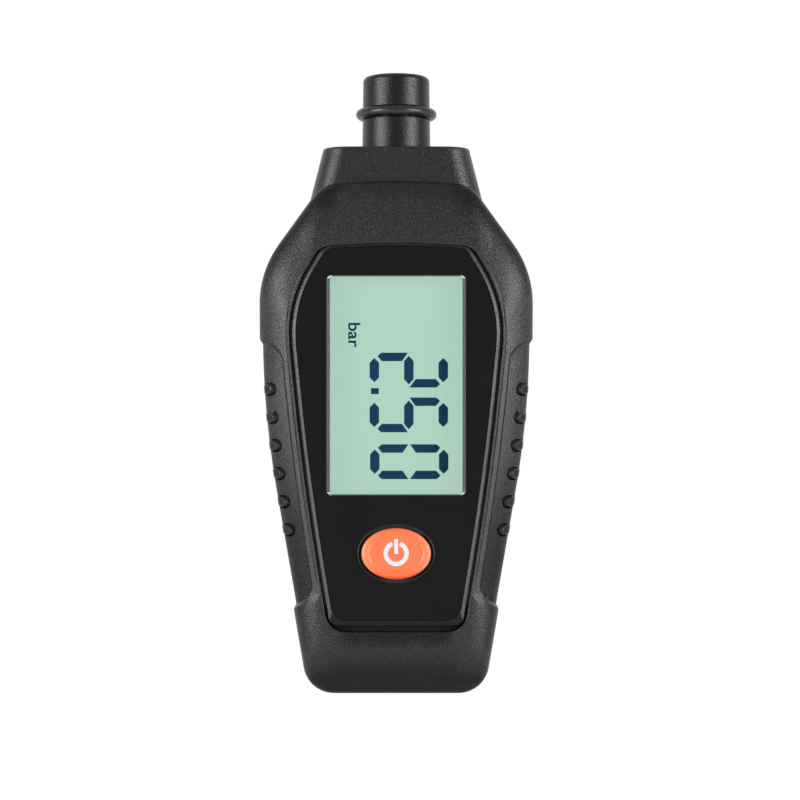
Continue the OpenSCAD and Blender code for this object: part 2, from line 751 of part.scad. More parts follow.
module neck_cut() {
  half_d = spigot_d / 2 + fit;
  collar_body(fit);
  block(0, spigot_w + 2 * fit, -half_d, half_d, shelf_z - past, seat_z + past);
}

module face_opening() {
  open = outline(opening_loop);
  lip = outline(lip_loop);
  loft([
    ring_at(lip, front_y - past),
    ring_at(lip, front_y),
    ring_at(open, front_y + lip_r),
    ring_at(open, flange_y + past)
  ]);
}

module front_cover() {
  color(black_plastic) difference() {
    union() {
      difference() {
        front_skin(0);
        front_cavity();
        grip_cut() {
          front_skin(grip_d);
          front_skin(grip_d - rib_rise);
        }
      }
      intersection() {
        front_skin(grip_d);
        union() {
          neck_shelf(front_y, seam_y);
          for (p = case_screw_spots) bar(p, bezel_back_y + fit, seam_y, boss_d);
          for (side = [-1, 1]) {
            block(side * (upper_screw_x + case_w / 2) / 2, case_w / 2 - upper_screw_x,
              bezel_back_y + part_gap, seam_y, upper_screw_z - wall / 2, upper_screw_z + wall / 2);
            block(side * lower_screw_span / 2, wall,
              front_y, seam_y, 0, lower_screw_z - boss_d / 4);
          }
        }
      }
    }
    face_opening();
    neck_cut();
    for (p = case_screw_spots)
      bar(p, seam_y - case_screw_reach - pilot_depth, seam_y + past, case_screw_d + 2 * thread_gap);
  }
}

module rear_cover() {
  color(black_plastic) difference() {
    union() {
      difference() {
        rear_skin(0);
        rear_cavity();
        grip_cut() {
          rear_skin(grip_d);
          rear_skin(grip_d - rib_rise);
        }
      }
      intersection() {
        rear_skin(grip_d);
        union() {
          neck_shelf(seam_y, back_d);
          for (p = case_screw_spots) bar(p, seam_y, back_d, boss_d + 2 * bay_wall);
        }
      }
      block(0, 2 * (bay_half_w + bay_wall), bay_front_y, back_d - back_wall / 2,
        bay_z - bay_wall, bay_top_z + bay_wall);
    }
    // Bay, door opening and the pockets behind its lower edge for the door's tabs
    block(0, 2 * bay_half_w, bay_y, back_d + past, bay_z, bay_top_z);
    slab(back_d - back_wall, back_d + past)
      polygon(outline(grow(door_loop, part_gap)));
    for (side = [-1, 1])
      block(side * tab_x, tab_w + 4 * fit, tab_back_y - tab_t - part_gap - 2 * fit, back_d - back_wall,
        door_z - tab_l - part_gap, bay_z + fit);
    // Slots for the terminals' tails
    for (side = [-1, 1]) tail(side * cell_x, fit);
    neck_cut();
    for (p = case_screw_spots) {
      bar(p, seam_y - past, back_d, case_screw_d + 4 * fit);
      bar(p, screw_seat_y - case_screw_head_h, back_d + past, case_screw_head_d + 4 * fit);
    }
  }
}

// Lofted prism for the window in the panel, with its left and right sides bevelled
module window_cut() {
  near = box_loop(window_w + 2 * window_bevel, window_z - window_h / 2, window_z + window_h / 2, window_r);
  far = box_loop(window_w, window_z - window_h / 2, window_z + window_h / 2, window_r);
  loft([
    ring_at(outline(near), panel_y - past),
    ring_at(outline(near), panel_y),
    ring_at(outline(far), panel_back_y - panel_t / 4),
    ring_at(outline(far), panel_back_y + past)
  ]);
}

module battery_door() {
  dish_z = door_top_z - latch_l / 2;
  color(black_plastic) difference() {
    union() {
      slab(door_y, back_d) polygon(outline(door_loop));
      for (side = [-1, 1]) {
        block(side * tab_x, tab_w, tab_back_y - tab_t, tab_back_y, door_z - tab_l, bay_z);
        block(side * tab_x, tab_w, tab_back_y - tab_t, door_y + fit, door_z, bay_z);
      }
    }
    for (side = [-1, 1])
      block(side * (latch_w + latch_slot) / 2, latch_slot, door_y - past, back_d + past,
        door_top_z - latch_l, door_top_z + past);
    difference() {
      bar([0, dish_z], back_d - latch_dish, back_d + past, latch_l - 2 * latch_slot);
      for (k = [-1:1])
        block(0, latch_w, door_y, back_d + past,
          dish_z + k * ridge_pitch - ridge_w / 2, dish_z + k * ridge_pitch + ridge_w / 2);
    }
  }
}

module bezel_frame() {
  crest = outline(grow(panel_loop, rim_land));
  rim = outline(bezel_loop);
  color(black_plastic) difference() {
    union() {
      loft([ring_at(crest, rim_y), ring_at(rim, rim_y + rim_drop), ring_at(rim, bezel_back_y)]);
      slab(flange_y, bezel_back_y) polygon(outline(flange_loop));
      for (p = post_spots) bar(p, bezel_back_y - fit, board_y, post_d);
    }
    slab(rim_y - past, panel_back_y) polygon(outline(grow(panel_loop, rim_land / 2)));
    block(0, lens_w + 2 * fit, rim_y, lens_back_y, window_z - lens_h / 2 - fit, window_z + lens_h / 2 + fit);
    block(0, window_w, rim_y, bezel_back_y + past, window_z - window_h / 2, window_z + window_h / 2);
    slab(rim_y, bezel_back_y + past)
      polygon(oval(button_w + 2 * (button_flange_w + part_gap), button_h + 2 * (button_flange_w + part_gap)));
    for (p = post_spots)
      bar(p, board_back_y - small_screw_l - fit, board_y + past, small_screw_d + 2 * thread_gap);
  }
}

module face_panel() {
  color("#1b1b1c") difference() {
    slab(panel_y, panel_back_y) polygon(outline(panel_loop));
    window_cut();
    slab(panel_y - past, panel_back_y + past)
      polygon(oval(button_w + 2 * button_gap, button_h + 2 * button_gap));
  }
}

module display_lens() {
  color("#cfe0da", 0.5)
    block(0, lens_w, panel_back_y, lens_back_y, window_z - lens_h / 2, window_z + lens_h / 2);
}

// Display glass with a contact ledge along each side
module lcd_glass() {
  half_h = lcd_h / 2;
  color("#aed0bf") union() {
    block(0, lcd_w, lcd_y, lcd_y + lcd_t / 2, window_z - half_h, window_z + half_h);
    block(0, lcd_w - 2 * zebra_w, lcd_y + lcd_t / 2, lcd_back_y, window_z - half_h, window_z + half_h);
  }
}

module zebra_strips() {
  color("#c9c4b8") for (side = [-1, 1])
    block(side * (lcd_w - zebra_w) / 2, zebra_w - fit, lcd_y + lcd_t / 2, board_y,
      window_z - window_h / 2, window_z + window_h / 2);
}

module backlight_plate() {
  color("#e9efe6") block(0, lcd_w - 2 * (zebra_w + fit), lcd_back_y, board_y,
    window_z - window_h / 2, window_z + window_h / 2);
}

module lcd_holder() {
  color("#dfe3e4") difference() {
    block(0, holder_w, lcd_y, board_y, window_z - holder_h / 2, window_z + holder_h / 2);
    block(0, lcd_w + 2 * fit, lcd_y - past, board_y + past,
      window_z - lcd_h / 2 - fit, window_z + lcd_h / 2 + fit);
  }
}

module main_board() {
  step_z = upper_screw_z - boss_d;
  wide_x = upper_post_x + board_margin;
  half = [
    [holder_w / 2, board_top_z],
    [holder_w / 2, step_z],
    [wide_x, step_z - 2 * wall],
    [wide_x, button_z + 2 * switch_w],
    [board_foot_w / 2, board_z]
  ];
  left = [for (i = [len(half) - 1:-1:0]) [-half[i][0], half[i][1]]];
  color(board_green) difference() {
    slab(board_y, board_back_y) polygon(concat(half, left));
    for (p = post_spots) bar(p, board_y - past, board_back_y + past, small_screw_d + 4 * fit);
  }
}

module controller_chip() {
  color("#18191b") block(0, chip_w, board_back_y, board_back_y + chip_t,
    window_z - chip_w / 2 - chip_w, window_z - chip_w / 2);
}

module small_parts() {
  part_w = 2;
  color("#b39b78") for (side = [-1, 1], k = [0:3])
    block(side * (chip_w / 2 + 2 * part_w), part_w, board_back_y, board_back_y + part_w / 2,
      window_z - chip_w - 2 * part_w * k, window_z - chip_w - 2 * part_w * k + part_w / 2);
}

module tact_switch() {
  color("#2c2d30") difference() {
    block(0, switch_w, switch_y, board_y, button_z - switch_w / 2, button_z + switch_w / 2);
    bar([0, button_z], switch_y - past, switch_y + 2 * plunger_rise, plunger_d + 2 * fit);
  }
}

module switch_plunger() {
  color("#6b6e72")
    bar([0, button_z], plunger_y, switch_y + 2 * plunger_rise - button_travel - part_gap, plunger_d);
}

// Ring with a gap at its top and a bar in the gap
module mark_shape() {
  inner_d = mark_d - 2 * mark_line;
  translate([0, button_z, 0]) {
    rotate([0, 0, 90 + mark_gap]) rotate_extrude(angle = 360 - 2 * mark_gap)
      translate([inner_d / 2, 0]) square([mark_line, mark_t]);
    translate([-mark_line / 2, 0, 0]) cube([mark_line, mark_bar_h, mark_t]);
  }
}

// The button's outline drawn in by d at its ends, in proportion
function button_oval(d) = oval(button_w - 2 * d, (button_w - 2 * d) * button_h / button_w);

module power_button() {
  face = button_oval(button_edge_w);
  side = button_oval(0);
  dish = button_oval(button_edge_w + button_ring_w);
  floor = button_oval(button_edge_w + button_ring_w + button_dish_edge);
  color("#ff7a4d") difference() {
    union() {
      loft([
        ring_at(face, button_y),
        ring_at(side, button_y + button_edge_d),
        ring_at(side, button_flange_y + button_flange_t)
      ]);
      slab(button_flange_y, button_flange_y + button_flange_t)
        polygon(oval(button_w + 2 * button_flange_w, button_h + 2 * button_flange_w));
      bar([0, button_z], button_flange_y, plunger_y, button_stem_d);
    }
    loft([ring_at(dish, button_y - past), ring_at(dish, button_y), ring_at(floor, dish_y)]);
    translate([0, dish_y + mark_t, 0]) rotate([90, 0, 0]) mark_shape();
  }
}

module power_mark() {
  color("white") translate([0, dish_y + mark_t, 0]) rotate([90, 0, 0]) mark_shape();
}

module neck_collar() {
  flange_w = spigot_w + 2 * collar_flange_w;
  flange_d = spigot_d + 2 * collar_flange_w;
  color(black_plastic) difference() {
    union() {
      collar_body(0);
      block(0, spigot_w, -spigot_d / 2, spigot_d / 2, collar_flange_z, seat_z + past);
      block(0, flange_w, -flange_d / 2, flange_d / 2, collar_flange_z, collar_flange_z + collar_flange_t);
    }
    rod(0, collar_flange_z - past, collar_top_z + past, nozzle_base_d + 2 * fit);
    rod(0, collar_flange_z - past, collar_flange_z + nozzle_flange_t + fit, nozzle_flange_d + 2 * fit);
    for (side = [-1, 1])
      rod(side * retainer_screw_span / 2, collar_flange_z - past, collar_flange_z + small_screw_l,
        small_screw_d + 2 * thread_gap);
  }
}

// Radius of the nozzle's drafted outside at a height
function nozzle_r(z) =
  let(share = (z - collar_top_z) / nozzle_h)
  (nozzle_base_d + (nozzle_top_d - nozzle_base_d) * min(1, max(0, share))) / 2;

module nozzle() {
  groove_z0 = ring_z - ring_section / 2 - fit;
  groove_z1 = ring_z + ring_section / 2 + fit;
  undercut_r = mouth_d / 2 + seal_undercut;
  edge_z = nozzle_top_z - nozzle_edge_r;
  edge_x = nozzle_top_d / 2 - nozzle_edge_r;
  edge = [for (a = [0:15:90]) [edge_x + nozzle_edge_r * cos(a), edge_z + nozzle_edge_r * sin(a)]];
  color("#262627") rotate_extrude() polygon(concat(
    [
      [air_d / 2, stem_z],
      [stem_d / 2, stem_z],
      [stem_d / 2, collar_flange_z],
      [nozzle_flange_d / 2, collar_flange_z],
      [nozzle_flange_d / 2, collar_flange_z + nozzle_flange_t],
      [nozzle_base_d / 2, collar_flange_z + nozzle_flange_t],
      [nozzle_base_d / 2, collar_top_z],
      [nozzle_r(groove_z0), groove_z0],
      [ring_seat_r, groove_z0],
      [ring_seat_r, groove_z1],
      [nozzle_r(groove_z1), groove_z1]
    ],
    edge,
    [
      [mouth_d / 2 + mouth_chamfer, nozzle_top_z],
      [mouth_d / 2, nozzle_top_z - mouth_chamfer],
      [mouth_d / 2, seal_top_z],
      [undercut_r, seal_top_z],
      [undercut_r, seal_z],
      [pin_d / 2 + thread_gap, seal_z],
      [pin_d / 2 + thread_gap, seal_z - pin_seat],
      [air_d / 2, seal_z - pin_seat]
    ]
  ));
}

module nozzle_o_ring() {
  color("#1a1a1a") translate([0, 0, ring_z]) rotate_extrude()
    translate([(ring_d - ring_section) / 2, 0]) circle(d = ring_section);
}

module valve_seal() {
  color("#3a3a3c") translate([0, 0, seal_z]) difference() {
    cylinder(h = seal_t - thread_gap, d = mouth_d + 2 * seal_undercut - 2 * thread_gap);
    translate([0, 0, -past]) cylinder(h = seal_t + 2 * past, d = seal_hole_d);
  }
}

// Hollow pin with a slotted tip, level with the seal's face
module depressor_pin() {
  pin_l = seal_t + pin_seat - fit;
  slot_w = air_d / 2;
  color("#c9a24a") translate([0, 0, seal_z - pin_seat]) difference() {
    cylinder(h = pin_l, d = pin_d);
    translate([0, 0, -past]) cylinder(h = pin_l + 2 * past, d = air_d / 2);
    translate([-pin_d, -slot_w / 2, pin_l - slot_w]) cube([2 * pin_d, slot_w, slot_w + past]);
  }
}

module nozzle_retainer() {
  color("#3b3c3e") difference() {
    block(0, retainer_w, -retainer_d / 2, retainer_d / 2, retainer_z, collar_flange_z);
    rod(0, retainer_z - past, collar_flange_z + past, stem_d + 4 * fit);
    for (side = [-1, 1])
      rod(side * retainer_screw_span / 2, retainer_z - past, collar_flange_z + past, small_screw_d + 2 * fit);
  }
}

// Screw along +Z, seated at its head's underside, with a crossed recess in the head
module screw(d, l, head_d, head_h) {
  recess_l = cross_length * head_d;
  recess_w = cross_width * head_d;
  difference() {
    union() {
      cylinder(h = l, d = d);
      translate([0, 0, -head_h]) cylinder(h = head_h, d = head_d);
    }
    for (turn = [0, 90]) rotate([0, 0, turn])
      translate([-recess_l / 2, -recess_w / 2, -head_h - past])
        cube([recess_l, recess_w, past + head_h / 2]);
  }
}

module retainer_screws() {
  color(steel) for (side = [-1, 1]) translate([side * retainer_screw_span / 2, 0, retainer_z])
    screw(small_screw_d, small_screw_l, small_screw_head_d, small_screw_head_h);
}

module board_screws() {
  color(steel) for (p = post_spots) translate([p[0], board_back_y, p[1]]) rotate([90, 0, 0])
    screw(small_screw_d, small_screw_l, small_screw_head_d, small_screw_head_h);
}

module case_screws() {
  seat_y = screw_seat_y - case_screw_head_h;
  color(steel) for (p = case_screw_spots) translate([p[0], seat_y, p[1]]) rotate([90, 0, 0])
    screw(case_screw_d, seat_y - seam_y + case_screw_reach, case_screw_head_d, case_screw_head_h);
}

module air_tube() {
  inner_d = stem_d + 2 * thread_gap;
  color("#d9d6cc") difference() {
    rod(0, sensor_top_z + fit, retainer_z - fit, inner_d + 2 * tube_wall);
    rod(0, sensor_top_z, retainer_z, inner_d);
  }
}

module pressure_sensor() {
  color("#3a4046") difference() {
    union() {
      block(0, sensor_w, board_back_y, board_back_y + sensor_d, sensor_z, sensor_top_z);
      rod(0, sensor_top_z - fit, port_top_z, stem_d);
    }
    rod(0, sensor_top_z - sensor_h / 2, port_top_z + past, air_d);
  }
}

// One cell standing on its flat end at the origin
module cell() {
  edge = 0.4;
  shoulder_z = cell_l - cell_nub_h;
  rotate_extrude() polygon([
    [0, 0],
    [cell_d / 2 - edge, 0],
    [cell_d / 2, edge],
    [cell_d / 2, shoulder_z - edge],
    [cell_d / 2 - edge, shoulder_z],
    [cell_nub_d / 2, shoulder_z],
    [cell_nub_d / 2, cell_l],
    [0, cell_l]
  ]);
}

module left_cell() {
  color("#c8862b") translate([-cell_x, cell_y, bay_top_z - contact_t - cell_l]) cell();
}

module right_cell() {
  color("#c8862b") translate([cell_x, cell_y, bay_z + contact_t + cell_l]) mirror([0, 0, 1]) cell();
}

// Conical coil from its plate up to the cell, and the least gap between neighbouring turns
spring_rings = 12;
spring_low = spring_wire / 2 + thread_gap;
spring_path = [
  for (i = [0:round(spring_turns * spring_rings)])
    let(s = i / (spring_turns * spring_rings), a = 360 * i / spring_rings)
    let(r = spring_r + (spring_tip_r - spring_r) * s)
    [r * cos(a), r * sin(a), spring_low + (spring_h - 2 * spring_low) * s]
];
spring_gap = min([
  for (i = [0:len(spring_path) - 1], j = [0:len(spring_path) - 1])
    if (j - i >= spring_rings / 2) norm(spring_path[i] - spring_path[j])
]) - spring_wire;
echo(contact_spring_least_gap = spring_gap);

module contact_springs() {
  color(steel) {
    translate([-cell_x, cell_y, bay_z + contact_t]) tube(spring_path, spring_wire / 2, 6, [0, 0, 1]);
    translate([cell_x, cell_y, bay_top_z - contact_t]) mirror([0, 0, 1])
      tube(spring_path, spring_wire / 2, 6, [0, 0, 1]);
  }
}

// Height of a contact plate across the cells' ends
contact_half = 0.4 * cell_d;

module bridge_contact() {
  color(steel) block(0, 2 * (cell_x + contact_half), cell_y - contact_half, cell_y + contact_half,
    bay_z, bay_z + contact_t);
}

// A terminal's tail through the bay's end wall, grown by d for its slot
tail_w = 3;
tail_l = 1;
tail_z = bay_top_z + bay_wall + tail_l;
module tail(x, d) {
  half_t = contact_t / 2 + d;
  block(x, tail_w + 2 * d, cell_y - half_t, cell_y + half_t, bay_top_z - contact_t, tail_z);
}

module terminal_contacts() {
  color(steel) for (side = [-1, 1]) union() {
    block(side * cell_x, 2 * contact_half, cell_y - contact_half, cell_y + contact_half,
      bay_top_z - contact_t, bay_top_z);
    tail(side * cell_x, 0);
  }
}

// Leads from the terminals' tails over to the board
function curve(a, b, c, d, t) =
  let(s = 1 - t)
  s * s * s * a + 3 * s * s * t * b + 3 * s * t * t * c + t * t * t * d;
lead_rise = 5;
function lead_path(x) =
  let(start = [x, cell_y, tail_z], end = [x, board_back_y, tail_z + lead_rise], pull = cell_y / 2)
  [for (i = [0:10]) curve(start, start + [0, 0, lead_rise], end + [0, pull, 0], end, i / 10)];

module battery_leads() {
  color("#b03a2e") tube(lead_path(-cell_x), lead_d / 2, 8, [1, 0, 0]);
  color("#1c1c1c") tube(lead_path(cell_x), lead_d / 2, 8, [1, 0, 0]);
}

front_cover();
rear_cover();
battery_door();
bezel_frame();
face_panel();
display_lens();
lcd_glass();
zebra_strips();
backlight_plate();
lcd_holder();
main_board();
controller_chip();
small_parts();
tact_switch();
switch_plunger();
power_button();
power_mark();
neck_collar();
nozzle();
nozzle_o_ring();
valve_seal();
depressor_pin();
nozzle_retainer();
retainer_screws();
air_tube();
pressure_sensor();
left_cell();
right_cell();
contact_springs();
bridge_contact();
terminal_contacts();
battery_leads();
board_screws();
case_screws();
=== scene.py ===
import math

import bmesh
import bpy
from mathutils import Matrix, Vector
from mathutils.geometry import interpolate_bezier


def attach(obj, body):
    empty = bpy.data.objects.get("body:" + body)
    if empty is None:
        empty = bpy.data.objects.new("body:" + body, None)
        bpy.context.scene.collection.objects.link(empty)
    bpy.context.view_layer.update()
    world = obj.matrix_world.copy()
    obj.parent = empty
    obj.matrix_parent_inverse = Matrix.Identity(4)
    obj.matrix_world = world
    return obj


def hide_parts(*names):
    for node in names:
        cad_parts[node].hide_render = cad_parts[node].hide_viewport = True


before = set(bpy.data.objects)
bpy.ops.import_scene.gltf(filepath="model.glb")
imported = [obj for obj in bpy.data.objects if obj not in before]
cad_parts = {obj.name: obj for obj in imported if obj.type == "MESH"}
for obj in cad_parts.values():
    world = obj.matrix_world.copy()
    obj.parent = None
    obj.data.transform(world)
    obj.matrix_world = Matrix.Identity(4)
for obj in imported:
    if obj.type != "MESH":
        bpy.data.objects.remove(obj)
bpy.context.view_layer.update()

MM = 0.001
scene = bpy.context.scene

# Sizes in millimetres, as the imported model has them
FRONT_Y, BACK_Y, SEAM_Y = -13.0, 13.5, 1.0
WALL, BACK_WALL = 2.0, 2.0
EDGE_D, EDGE_LEAN, END_EDGE_D, BACK_EDGE_W, BACK_EDGE_D = 5.2, 2.7, 3.5, 4.0, 4.2
FLANGE_Y, BEZEL_BACK_Y, RIM_Y = -11.2, -9.9, -13.4
PANEL_Y, PANEL_BACK_Y = -13.3, -12.1
LIP_R, FLANGE_W, GAP = 0.2, 1.2, 0.3
WINDOW_W, WINDOW_H, WINDOW_Z, WINDOW_R, WINDOW_BEVEL = 23.05, 37.9, 53.95, 0.7, 0.47
WINDOW_LOW, WINDOW_HIGH = WINDOW_Z - WINDOW_H / 2, WINDOW_Z + WINDOW_H / 2
LCD_Y = -9.8
BUTTON_W, BUTTON_H, BUTTON_Z = 11.95, 8.8, 24.95
BUTTON_Y, BUTTON_DISH_Y, BUTTON_FLANGE_Y = -14.2, -14.08, -12.0
SEAT_Z, COLLAR_TOP_Z, COLLAR_FOOT_Z, COLLAR_EDGE = 85.8, 95.8, 82.4, 0.5
NOZZLE_TOP_Z, RING_Z, SEAL_Z = 109.1, 102.4, 100.8
DOOR_Y, DOOR_Z, DOOR_TOP_Z, DOOR_HALF_W, DOOR_R = 11.7, 12.3, 65.7, 12.15, 1.5
TAB_X, TAB_Y, TAB_W = 9.95, 10.0, 2.4
CELL_X, CELL_Y = 5.6, 5.15
BAY_LOW_Z, BAY_TOP_Z, SPRING_L = 13.4, 62.9, 5.0
LEAD_Z, LEAD_RISE, BOARD_BACK_Y = 65.5, 5.0, -4.6

# How near points are to be one, and to be put on a turned piece's axis
WELD, CORE_R = 1e-5, 0.02

# What the camera looks at, and from how far, in millimetres
VIEW_X, VIEW_Z, VIEW_BACK = 0.66, 51.4, 354


# Corner lists of the front view: (across, up, corner radius), clockwise from the top middle
def both_sides(half):
    return half + [(-x, z, r) for x, z, r in reversed(half[1:])]


def corner_ways(loop):
    spots = [Vector(c[:2]) for c in loop]
    count = len(spots)
    return spots, [(spots[(i + 1) % count] - spots[i]).normalized() for i in range(count)]


def grow(loop, by):
    spots, ways = corner_ways(loop)
    grown = []
    for i, (x, z, r) in enumerate(loop):
        before, after = ways[i - 1], ways[i]
        bend = abs(before.x * after.y - before.y * after.x)
        spot = spots[i] - (after - before) * (by / bend)
        grown.append((spot.x, spot.y, max(r + by, 0.05)))
    return grown


def lower_sill(loop, by, r=None):
    """Lower the two bottom corners along their sides, and sharpen them as much unless a radius is given."""
    spots, ways = corner_ways(loop)
    spot = spots[4] + ways[3] * (by / abs(ways[3].y))
    r = r or loop[4][2] - by
    return loop[:4] + [(spot.x, spot.y, r), (-spot.x, spot.y, r)] + loop[6:]


def lower_top(loop, by):
    """Lower the top middle and the two top corners along their sides."""
    spots, ways = corner_ways(loop)
    spot = spots[1] + ways[1] * (by / abs(ways[1].y))
    r = loop[1][2]
    return [(0, loop[0][1] - by, loop[0][2]), (spot.x, spot.y, r)] + loop[2:8] + [(-spot.x, spot.y, r)]


def box_loop(w, z0, z1, r):
    return [(w / 2, z1, r), (w / 2, z0, r), (-w / 2, z0, r), (-w / 2, z1, r)]


CASE = both_sides([(0, 89.8, 120), (12.95, 88.9, 5.1), (23.9, 73.8, 18), (23.9, 49.5, 165), (15.3, 0, 5.0)])
PANEL = both_sides([
    (0, 78.2, 110), (12, 77.5, 1.8), (17.9, 67.85, 21.5), (15.05, 39.25, 480), (10.9, 13.6, 2.9),
])
BEZEL = lower_top(lower_sill(grow(PANEL, 0.68), 0.85), 0.3)
OPENING = lower_top(grow(BEZEL, 0.52), 0.5)
LIP = grow(OPENING, LIP_R)
DOOR = box_loop(2 * DOOR_HALF_W, DOOR_Z, DOOR_TOP_Z, DOOR_R)
# The case's front lower edge, the panel's visible edge and the rim above its groove
TOE = lower_sill(CASE, -0.34)
FACE = lower_sill(PANEL, 0.2)
RIM = lower_sill(BEZEL, -0.45, 1.6)
# Heights at which a ring's rows end and its rounded foot begins
CASE_FOOT, RIM_FOOT, LIP_FOOT, FLANGE_FOOT = 13.0, 17.4, 17.7, 17.9


def outline(loop, steps=12):
    """Points round a corner list, each corner swung round its own centre."""
    spots, ways = corner_ways(loop)
    count = len(loop)
    turns = [ways[i - 1].angle(ways[i]) for i in range(count)]
    reach = [loop[i][2] * math.tan(turns[i] / 2) for i in range(count)]
    sides = [(spots[(i + 1) % count] - spots[i]).length for i in range(count)]
    room = [0.98 * sides[i] / (reach[i] + reach[(i + 1) % count]) for i in range(count)]
    bm = bmesh.new()
    for i in range(count):
        r = loop[i][2] * min(1, room[i - 1], room[i])
        start = spots[i] - ways[i - 1] * r * math.tan(turns[i] / 2)
        centre = start + Vector((ways[i - 1].y, -ways[i - 1].x)) * r
        first = bm.verts.new((start.x, 0, start.y))
        bmesh.ops.spin(bm, geom=[first], cent=(centre.x, 0, centre.y), axis=(0, 1, 0), angle=turns[i],
                       steps=steps)
    points = [Vector((v.co.x, v.co.z)) for v in bm.verts]
    bm.free()
    return points


def right_half(points):
    """An outline's right half, from its top middle down to its bottom middle."""
    count = len(points)
    at = next(i for i in range(count) if points[i].x > 1e-4 and points[i - 1].x <= 1e-4)
    half = [Vector((0, points[at - 1].y))]
    while points[at % count].x > 1e-4:
        half.append(points[at % count])
        at += 1
    return half + [Vector((0, half[-1].y))]


class Run:
    """A half outline measured along its length."""

    def __init__(self, loop):
        self.points = right_half(outline(loop))
        self.marks = [0.0]
        for a, b in zip(self.points, self.points[1:]):
            self.marks.append(self.marks[-1] + (b - a).length)

    def place(self, length):
        for k in range(1, len(self.marks)):
            if length <= self.marks[k] or k == len(self.marks) - 1:
                share = (length - self.marks[k - 1]) / max(1e-9, self.marks[k] - self.marks[k - 1])
                return self.points[k - 1].lerp(self.points[k], min(1, max(0, share)))

    def corner(self, corner):
        spot = Vector(corner[:2])
        return min(zip(self.marks, self.points), key=lambda m: (m[1] - spot).length)[0]

    def height(self, z):
        for k in range(1, len(self.points)):
            a, b = self.points[k - 1], self.points[k]
            if a.y >= z >= b.y and a.y > b.y:
                return self.marks[k - 1] + (self.marks[k] - self.marks[k - 1]) * (a.y - z) / (a.y - b.y)

    def half_widths(self, low, high, step=0.1):
        """Half width at a height, looked up between evenly spaced heights."""
        table = [self.place(self.height(low + step * k)).x for k in range(int((high - low) / step) + 1)]

        def half_width(z):
            k = min(len(table) - 1.001, max(0, (z - low) / step))
            return table[int(k)] + (table[int(k) + 1] - table[int(k)]) * (k - int(k))
        return half_width


GRIP_LOW_Z, GRIP_TOP_Z, LIP_TOP_Z = 18.0, 64.0, 76.0
case_half = Run(CASE).half_widths(10, 80)
lip_half = Run(LIP).half_widths(GRIP_LOW_Z, LIP_TOP_Z)
ledge_half = Run(grow(LIP, 1.4)).half_widths(GRIP_LOW_Z, GRIP_TOP_Z)
RIBS = [53.25 - 4.91 * k for k in range(6)]
RIB_REACH, RIB_R, GRIP_D, MOAT_D = 2.0, 0.8, 0.55, 0.25


def grip_rows():
    """Heights of the mesh rows down the grips, close together at the recess's end and the ribs."""
    rows, z = [], GRIP_TOP_Z
    while z > GRIP_LOW_Z:
        rows.append(z)
        fine = 58.2 < z < 62.4 or any(abs(z - rib) < 1.25 for rib in RIBS)
        z -= 0.1 if fine else 0.4
    return rows + [GRIP_LOW_Z]


ROWS = grip_rows()
# Steps between a ring's features above the grips, and below them
HEAD = (12, 26, 22)
FOOT = (44, 16, 18)


def ring(loop, foot):
    """Matched points round a loop: the same count, at the same features, on every loop."""
    run = Run(loop)
    keys = [0, run.corner(loop[1]), run.corner(loop[2]), run.height(ROWS[0])]
    lengths = []
    for count, a, b in zip(HEAD, keys, keys[1:]):
        lengths += [a + (b - a) * k / count for k in range(count)]
    lengths += [run.height(z) for z in ROWS]
    low = [run.height(ROWS[-1]), run.height(foot), run.corner(loop[4]), run.marks[-1]]
    for count, a, b in zip(FOOT, low, low[1:]):
        lengths += [a + (b - a) * k / count for k in range(1, count + 1)]
    right = [run.place(length) for length in lengths]
    return right + [Vector((-p.x, p.y)) for p in reversed(right[1:-1])]


def smooth(t):
    t = min(1, max(0, t))
    return t * t * (3 - 2 * t)


def front_edge(outer, inner):
    """Depth, lean and share of a quarter turn of the front's rolled edge at each point of a ring."""
    edge = []
    for a, b in zip(inner, outer):
        side = abs((b - a).normalized().x) ** 3
        lean = EDGE_LEAN * side * min(1, max(0, (b.y - 2) / 22))
        edge.append((END_EDGE_D + (EDGE_D - END_EDGE_D) * side, lean, 1 - 0.15 * smooth((9 - b.y) / 6)))
    return edge


def front_view(points, y):
    return [Vector((p.x, y, p.y)) for p in points]


def rolled(outer, inner, turn, y, edge):
    """Ring on a rolled edge, from the inner outline at no turn to the outer one at a quarter turn."""
    points = []
    for a, b, (depth, lean, stop) in zip(inner, outer, edge):
        last = math.pi / 2 * stop
        out = math.sin(turn * stop) / math.sin(last)
        back = (1 - math.cos(turn * stop)) / (1 - math.cos(last))
        spot = a.lerp(b, out)
        points.append(Vector((spot.x, y + lean * out + (depth - lean) * back, spot.y)))
    return points


def spine(points, y):
    """A ring drawn in to its middle line, to close a skin."""
    return [Vector((0, y, p.y)) for p in points]


def lip_crease(x, z):
    """Fine crease beside the lip's bead, fading out at both ends."""
    if not GRIP_LOW_Z < z < LIP_TOP_Z:
        return 0
    slope = (lip_half(z + 0.1) - lip_half(z - 0.1)) / 0.2
    off = (x - lip_half(z)) / math.hypot(1, slope) - 0.3
    return 0.09 * smooth(1 - abs(off) / 0.17) * smooth((LIP_TOP_Z - z) / 5) * smooth((z - GRIP_LOW_Z) / 4)


def sill_dip(x, z):
    """Soft fall of the base towards the groove below the panel."""
    return 0.3 * smooth((z - 8.2) / 4.4) * smooth((11.5 - x) / 3) if z < 14 else 0


def step(share):
    """Height of a rounded step, and how near a place on it is to the step's middle."""
    height = smooth(share + 0.5)
    return height, 4 * height * (1 - height)


